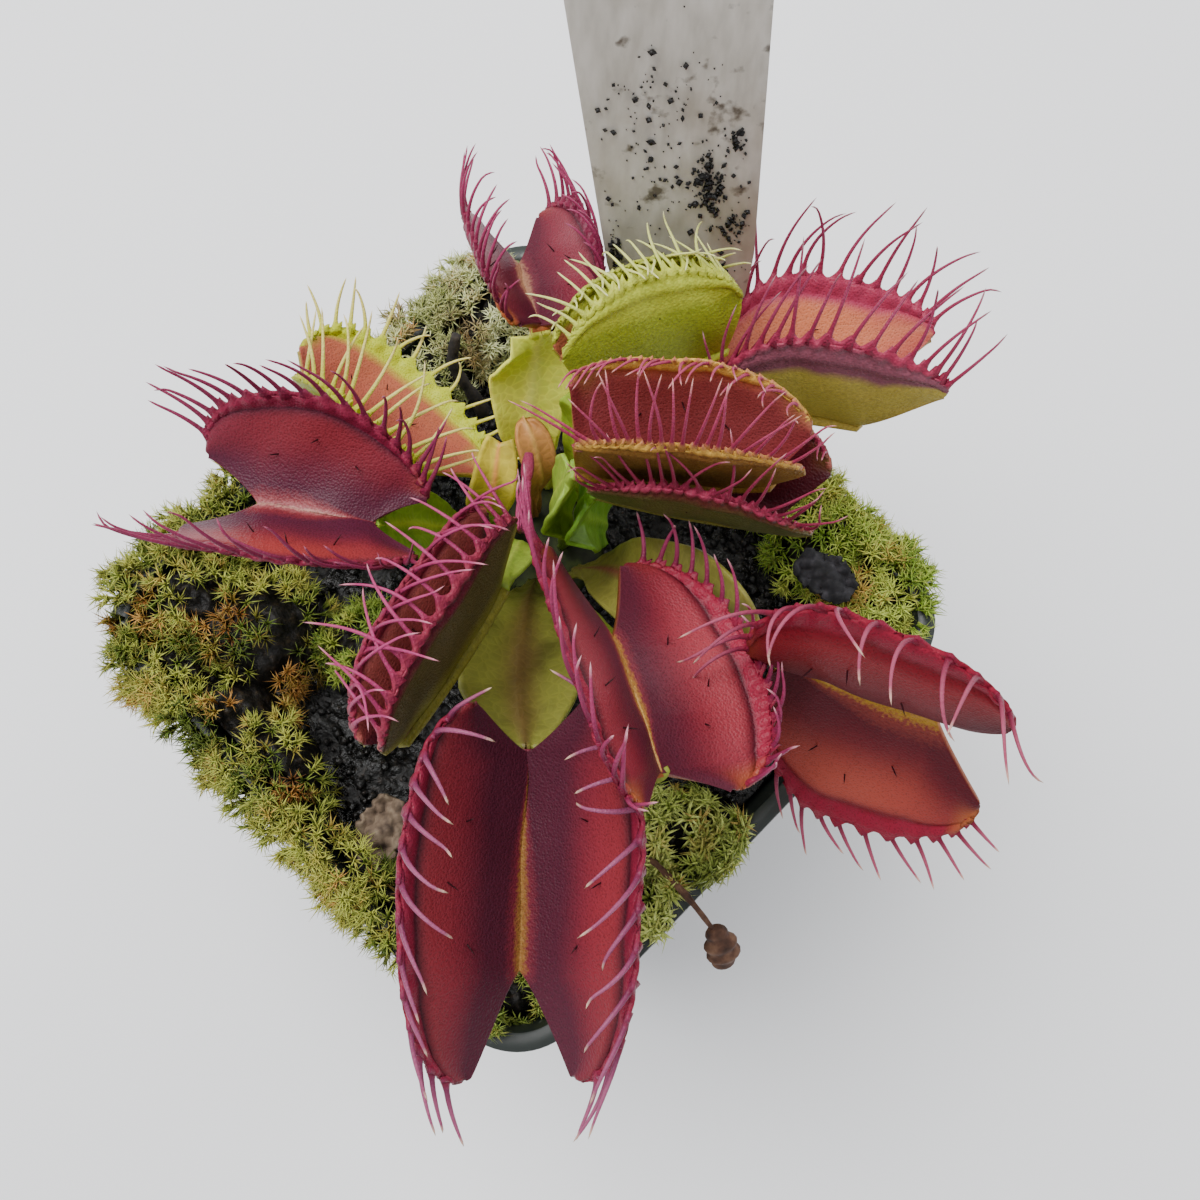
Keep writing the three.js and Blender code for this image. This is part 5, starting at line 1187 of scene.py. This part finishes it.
def moss_leaf(name, looks):
    """Moss leaves: translucent, one cell thick. Dark at the foot and pale at the tip, partly their
    own colour and partly painted shade among the shoots and painted light on the tips, and brown
    where a tuft has dried. The core is black peat and old brown shoots, in grains of 0.9 mm."""
    dark, green, pale, brown = looks
    material, shader = new_material(
        name, Roughness=0.5, IOR=1.4, Subsurface_Weight=0.1, Subsurface_Scale=0.8 * MM,
        Subsurface_Radius=(0.6, 0.8, 0.2), Specular_IOR_Level=0.35)
    place = add_node(material, "TexCoord").outputs["Object"]
    tip, tone, dry = (add_node(material, "Attribute", attribute_name=key).outputs["Fac"]
                      for key in ("tip", "tone", "dry"))
    # Painted shade and light, partly: a leaf runs from its dark foot to its pale lit tip.
    lit = add_node(material, "Math", tip, 0.55, tone, operation="MULTIPLY_ADD")
    fresh = add_node(material, "ValToRGB", lit, stops=[(0.15, dark), (0.55, green), (1.0, pale)])
    dead = add_node(material, "ValToRGB", lit,
                    stops=[(0.15, 0x22160C), (0.6, brown), (1.0, 0xBC8A48)])
    mixed = add_node(material, "Mix", dry, fresh, dead, **COLOURS)
    grain = add_node(material, "TexNoise", place, 1100, 5)
    soil = add_node(material, "ValToRGB", grain,
                    stops=[(0.35, 0x0B0A09), (0.55, 0x191613), (0.72, 0x33291E)])
    is_leaf = add_node(material, "Math", tone, -0.5, operation="GREATER_THAN")
    whole = add_node(material, "Mix", is_leaf, soil, mixed, **COLOURS)
    lumps = add_node(material, "Bump", Strength=0.8, Distance=0.5 * MM, Height=grain)
    plug(shader, Base_Color=whole, Normal=lumps)
    return material


for number, (name, moss) in enumerate(MOSS.items()):
    points, faces, marks = make_cushion(moss, MOSS_SEED + number)
    cushion = add_piece("moss_cushion_" + name, points, faces,
                        moss_leaf("living_moss_" + name, moss["looks"]), marks)
    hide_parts("moss_" + name)

# ------------------------------------------------------------------ the label
# A bare plant label: a slim tapering stake die-cut from white polystyrene sheet, pushed into
# the peat so that it leans back, weathered and scuffed.
LABEL = dict(foot=(21.8, 20.9, 58), lean=(-2.6, 8, 29.7), length=92.0, top=19.0, shoulder=15.6,
             shoulder_at=47.0, point=2.0, thick=0.8, corner=2.0, bow=0.22)
SMEARS = [(3.2, 57.5, 1.5, 3.2, 150), (-7.0, 49.5, 0.9, 2.6, 70), (0.5, 45.8, 5.0, 0.9, 130),
          (5.5, 51.5, 1.2, 2.0, 50), (5.9, 63.0, 0.8, 1.2, 30), (-3.0, 67.0, 2.8, 4.0, 40),
          (0.0, 60.0, 6.5, 13.0, 130), (7.4, 57.0, 0.4, 4.0, 30)]
SMEARED_WIDTH, SMEARED_FROM, SMEARED_TO, SMEAR_SEED = 14.4, 44, 78, 77


def label_axes(label):
    """The label's own axes: across it, up it, and out of its front."""
    up = unit(np.array(label["lean"]))
    side = unit(np.array([1.0, 0, 0]) - up[0] * up)
    return side, up, np.cross(side, up)


def make_label(label):
    """Rows run up the stake. Its half width goes straight from the point to the shoulder and on
    to the top, and the top corners are quarter circles. It bows back a little."""
    side, up, face = label_axes(label)
    drop = label["corner"] * (1 - np.sin(np.linspace(0, np.pi / 2, 10)))[::-1]
    height = np.concatenate([np.linspace(0, label["length"] - label["corner"], 60),
                             label["length"] - drop[::-1][1:]])
    half = np.interp(height, [0, label["shoulder_at"], label["length"]],
                     [label["point"] / 2, label["shoulder"] / 2, label["top"] / 2])
    rise = np.clip(height - (label["length"] - label["corner"]), 0, label["corner"])
    half = half - label["corner"] + np.sqrt(label["corner"] ** 2 - rise ** 2 + 1e-6)
    part = np.linspace(-1, 1, 25)[None, :]
    x = part * half[:, None]
    bow = label["bow"] * np.sin(np.pi * height / label["length"])[:, None] + 0 * part
    grid = (np.array(label["foot"]) + x[..., None] * side + height[:, None, None] * up
            + bow[..., None] * face)
    edge = 1 - 0.35 * (np.abs(part) > 0.985)
    points, faces = sheet(grid, label["thick"] / 2 * edge + 0 * height[:, None])
    return in_pot(points), faces


def make_smears(label):
    """Peat that splashed on the front of the label: grains scattered round a few spots, which
    are place across and up the label, spread across and up, and number of grains."""
    chance = np.random.default_rng(SMEAR_SEED)
    side, up, face = label_axes(label)
    spots = np.repeat(np.array(SMEARS)[:, :4], [smear[4] for smear in SMEARS], axis=0)
    across = spots[:, 0] + spots[:, 2] * chance.normal(0, 0.6, len(spots))
    height = spots[:, 1] + spots[:, 3] * chance.normal(0, 0.6, len(spots))
    on_sheet = (np.abs(across) < SMEARED_WIDTH / 2) & (height > SMEARED_FROM) & (
        height < SMEARED_TO)
    size = 0.1 + 0.42 * chance.random(len(spots)) ** 3
    middle = (np.array(label["foot"]) + across[:, None] * side + height[:, None] * up
              + (label["thick"] / 2 + 0.26 + 0.3 * size)[:, None] * face)[on_sheet]
    points, faces = grains(middle, size[on_sheet], chance)
    return in_pot(points), faces


# Polystyrene sheet: matt white gone slightly grey, with scratches 1.4 mm wide drawn out to 12 mm
# along it, a brown film in clouds of 11 mm, and specks of dirt of 3 mm.
label_sheet, label_shader = new_material("weathered_polystyrene", Roughness=0.45, IOR=1.59)
place = add_node(label_sheet, "TexCoord").outputs["Object"]
drawn = add_node(label_sheet, "Mapping", place, Scale=(1.0, 1.0, 0.12))
scratch = add_node(label_sheet, "TexNoise", drawn, 700, 5)
dirt = add_node(label_sheet, "TexNoise", place, 330, 7)
film = add_node(label_sheet, "TexNoise", place, 90, 6)
white = add_node(label_sheet, "ValToRGB", scratch,
                 stops=[(0.3, 0xB4AFA4), (0.5, 0xC4BFB4), (0.7, 0xD0CBC2)])
specks = add_node(label_sheet, "MapRange", dirt, 0.6, 0.68, 0.0, 0.9)
veil = add_node(label_sheet, "MapRange", film, 0.48, 0.66, 0.0, 0.6)
stained = add_node(label_sheet, "Mix", veil, white, linear(0x8E8068), **COLOURS)
soiled = add_node(label_sheet, "Mix", specks, stained, linear(0x4A4032), **COLOURS)
scored = add_node(label_sheet, "Bump", Strength=0.15, Distance=0.2 * MM, Height=scratch)
plug(label_shader, Base_Color=soiled, Normal=scored)
stake = add_piece("label_stake", *make_label(LABEL), label_sheet, crease=45)
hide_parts("label")
smears = add_piece("label_smears", *make_smears(LABEL), peat_mix)

# ------------------------------------------------------------------ withered scraps
# What the plant has shed: a curled grey-brown leaf, a black folded scrap, a black dead stalk at
# the back, and at the front a thin brown stalk with its shrivelled trap.
SCRAPS = {
    "dry_leaf": dict(spot=(-17, -25.5, 71.8), length=9.0, width=5.5, turn=70, tilt=0.05,
                     look=(0x3A2E26, 0x6B5A4A, 0x8A7A66)),
    "black_scrap": dict(spot=(36, 4, 80.5), length=7.5, width=5.0, turn=-35, tilt=0.1,
                        look=(0x131214, 0x262528, 0x454348)),
}
DEAD = {
    "back": dict(path=[(-5.5, 28, 64), (-6.5, 29.5, 72), (-9, 32, 78.5), (-8.2, 34, 83)],
                 radius=1.1, look=(0x131110, 0x2A2522, 0x453C34)),
    "front": dict(path=[(13.5, -27, 65), (16, -29.5, 76.6), (19.5, -33.4, 78.6),
                        (22.3, -36.8, 77.2)], radius=0.55, look=(0x2A1C16, 0x54382A, 0x7A5A44)),
}
SCRAP_HALF = 0.3
DEAD_HEAD = dict(path=[(22.2, -36.4, 77.5), (23, -38, 75.8), (23.6, -39.6, 73.6),
                       (23.4, -40.6, 72)], radius=1.9)


def withered(name, look):
    """Dead leaf tissue: matt, and wrinkled and streaked from dark to a dusty pale every 1.5 mm."""
    material, shader = new_material(name, Roughness=0.8, IOR=1.4)
    place = add_node(material, "TexCoord").outputs["Object"]
    cloud = add_node(material, "TexNoise", place, 650, 7)
    tone = add_node(material, "ValToRGB", cloud, stops=list(zip((0.3, 0.5, 0.72), look)))
    wrinkle = add_node(material, "Bump", Strength=0.7, Distance=0.4 * MM, Height=cloud)
    plug(shader, Base_Color=tone, Normal=wrinkle)
    return material


def make_scrap(scrap):
    """A small blade with a ragged edge, crumpled by crossing waves, long and short, and tilted."""
    a = np.linspace(-0.5, 0.5, 40)[:, None]
    b = np.linspace(-0.5, 0.5, 26)[None, :]
    ragged = 1 + 0.08 * np.sin(31 * a + 2) + 0.05 * np.sin(57 * a)
    x = a * scrap["length"]
    y = b * scrap["width"] * (1 - 0.5 * (2 * a) ** 2) * ragged
    crumple = 0.5 * np.sin(x * 1.3 + 1) + 0.45 * np.cos(y * 1.9 + x * 0.6) + scrap["tilt"] * y
    crumple = crumple + 0.14 * np.sin(x * 4.1 + 2 * y) + 0.1 * np.cos(5.3 * y - 2.2 * x)
    turn = np.radians(scrap["turn"])
    grid = np.stack([scrap["spot"][0] + x * np.cos(turn) - y * np.sin(turn),
                     scrap["spot"][1] + x * np.sin(turn) + y * np.cos(turn),
                     scrap["spot"][2] + crumple], 2)
    points, faces = sheet(grid, np.full(grid.shape[:2], SCRAP_HALF))
    return in_pot(points), faces


def make_dead_stalk(dead, head):
    """A crooked tapering rod, knotted along its length, and its shrivelled head if it has one."""
    k = np.linspace(0, 1, 50)
    path, _ = curve_through(dead["path"], k)
    knots = 1 + 0.16 * np.sin(31 * k) * np.sin(13 * k + 1)
    radius = dead["radius"] * (1 - 0.35 * k) * knots
    side = np.array([[0.8, -0.5, 0.3]])
    parts = [strands(path[None], side, radius[None], 0.85 * radius[None], 12)]
    if head:
        line, _ = curve_through(head["path"], k)
        girth = head["radius"] * (0.3 + 0.7 * np.sin(np.pi * (0.08 + 0.84 * k)))
        girth = girth * (1 + 0.12 * np.sin(23 * k))
        side = np.array([[0.8, 0.5, 0.3]])
        parts.append(strands(line[None], side, girth[None], 0.7 * girth[None], 16))
    points, faces = join(*parts)
    return in_pot(points), faces


for name, scrap in SCRAPS.items():
    piece = add_piece("withered_" + name, *make_scrap(scrap),
                      withered("dead_" + name, scrap["look"]))
    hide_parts(name)
for name, dead in DEAD.items():
    head = DEAD_HEAD if name == "front" else None
    piece = add_piece("withered_stalk_" + name, *make_dead_stalk(dead, head),
                      withered("dead_stalk_skin_" + name, dead["look"]))
    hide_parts("dead_stalk_" + name)

# ------------------------------------------------------------------ floor, light and camera
# A plain pale studio table, a broad soft light above and a weaker one at the right behind, under
# a pale sky, and a camera that looks down on the plant from the front as the photograph does.
CAMERA_AT = (9.3, -35.9, 228.7)
CAMERA_TILT = np.radians(14.0)
SENSOR, FOCAL_PIXELS, FRAME_PIXELS = 36, 1298, 1200
FLOOR, LIT_AT = 3.0, (0, 0, 0.08)
# Each light's place in metres, its width and its power.
LIGHTS = {"above": ((-0.25, 0.15, 0.75), 0.6, 8.5), "side": ((0.55, 0.4, 0.45), 0.5, 2.0)}


def put(name, data, axes, at):
    """An object in the scene, its own x, y and z along the axes, at a place in metres."""
    made = bpy.data.objects.new(name, data)
    bpy.context.scene.collection.objects.link(made)
    stand = np.eye(4)
    stand[:3, :3] = np.transpose(axes)
    stand[:3, 3] = at
    made.matrix_world = Matrix(stand.tolist())
    return made


# Paper: matt and a little off white.
floor_paper, _ = new_material("matt_paper_sweep", Roughness=0.9, Base_Color=linear(0xF6F6F7))
floor_mesh = bpy.data.meshes.new("floor")
floor_mesh.from_pydata([(-FLOOR, -FLOOR, 0), (FLOOR, -FLOOR, 0), (FLOOR, FLOOR, 0),
                        (-FLOOR, FLOOR, 0)], [], [(0, 1, 2, 3)])
floor_mesh.materials.append(floor_paper)
floor = put("floor", floor_mesh, np.eye(3), (0, 0, 0))

camera_data = bpy.data.cameras.new("camera")
camera_data.sensor_width = SENSOR
camera_data.lens = SENSOR * FOCAL_PIXELS / FRAME_PIXELS
camera_data.clip_start = 0.01
rise, drop = np.cos(CAMERA_TILT), np.sin(CAMERA_TILT)
bpy.context.scene.camera = put(
    "camera", camera_data, in_pot([(1, 0, 0), (0, rise, drop), (0, -drop, rise)]),
    in_pot(CAMERA_AT) * MM)

for name, (spot, size, power) in LIGHTS.items():
    lamp = bpy.data.lights.new(name, "AREA")
    lamp.shape, lamp.size, lamp.energy = "DISK", size, power
    away = unit(in_pot(spot) - np.array(LIT_AT))
    across = unit(np.cross([0.1, 1.0, 0], away))
    put(name, lamp, [across, np.cross(away, across), away], in_pot(spot))
world = bpy.data.worlds.new("soft_daylight")
world.use_nodes = True
plug(world.node_tree.nodes["Background"], Color=linear(0xF2F4F8), Strength=0.8)
bpy.context.scene.world = world
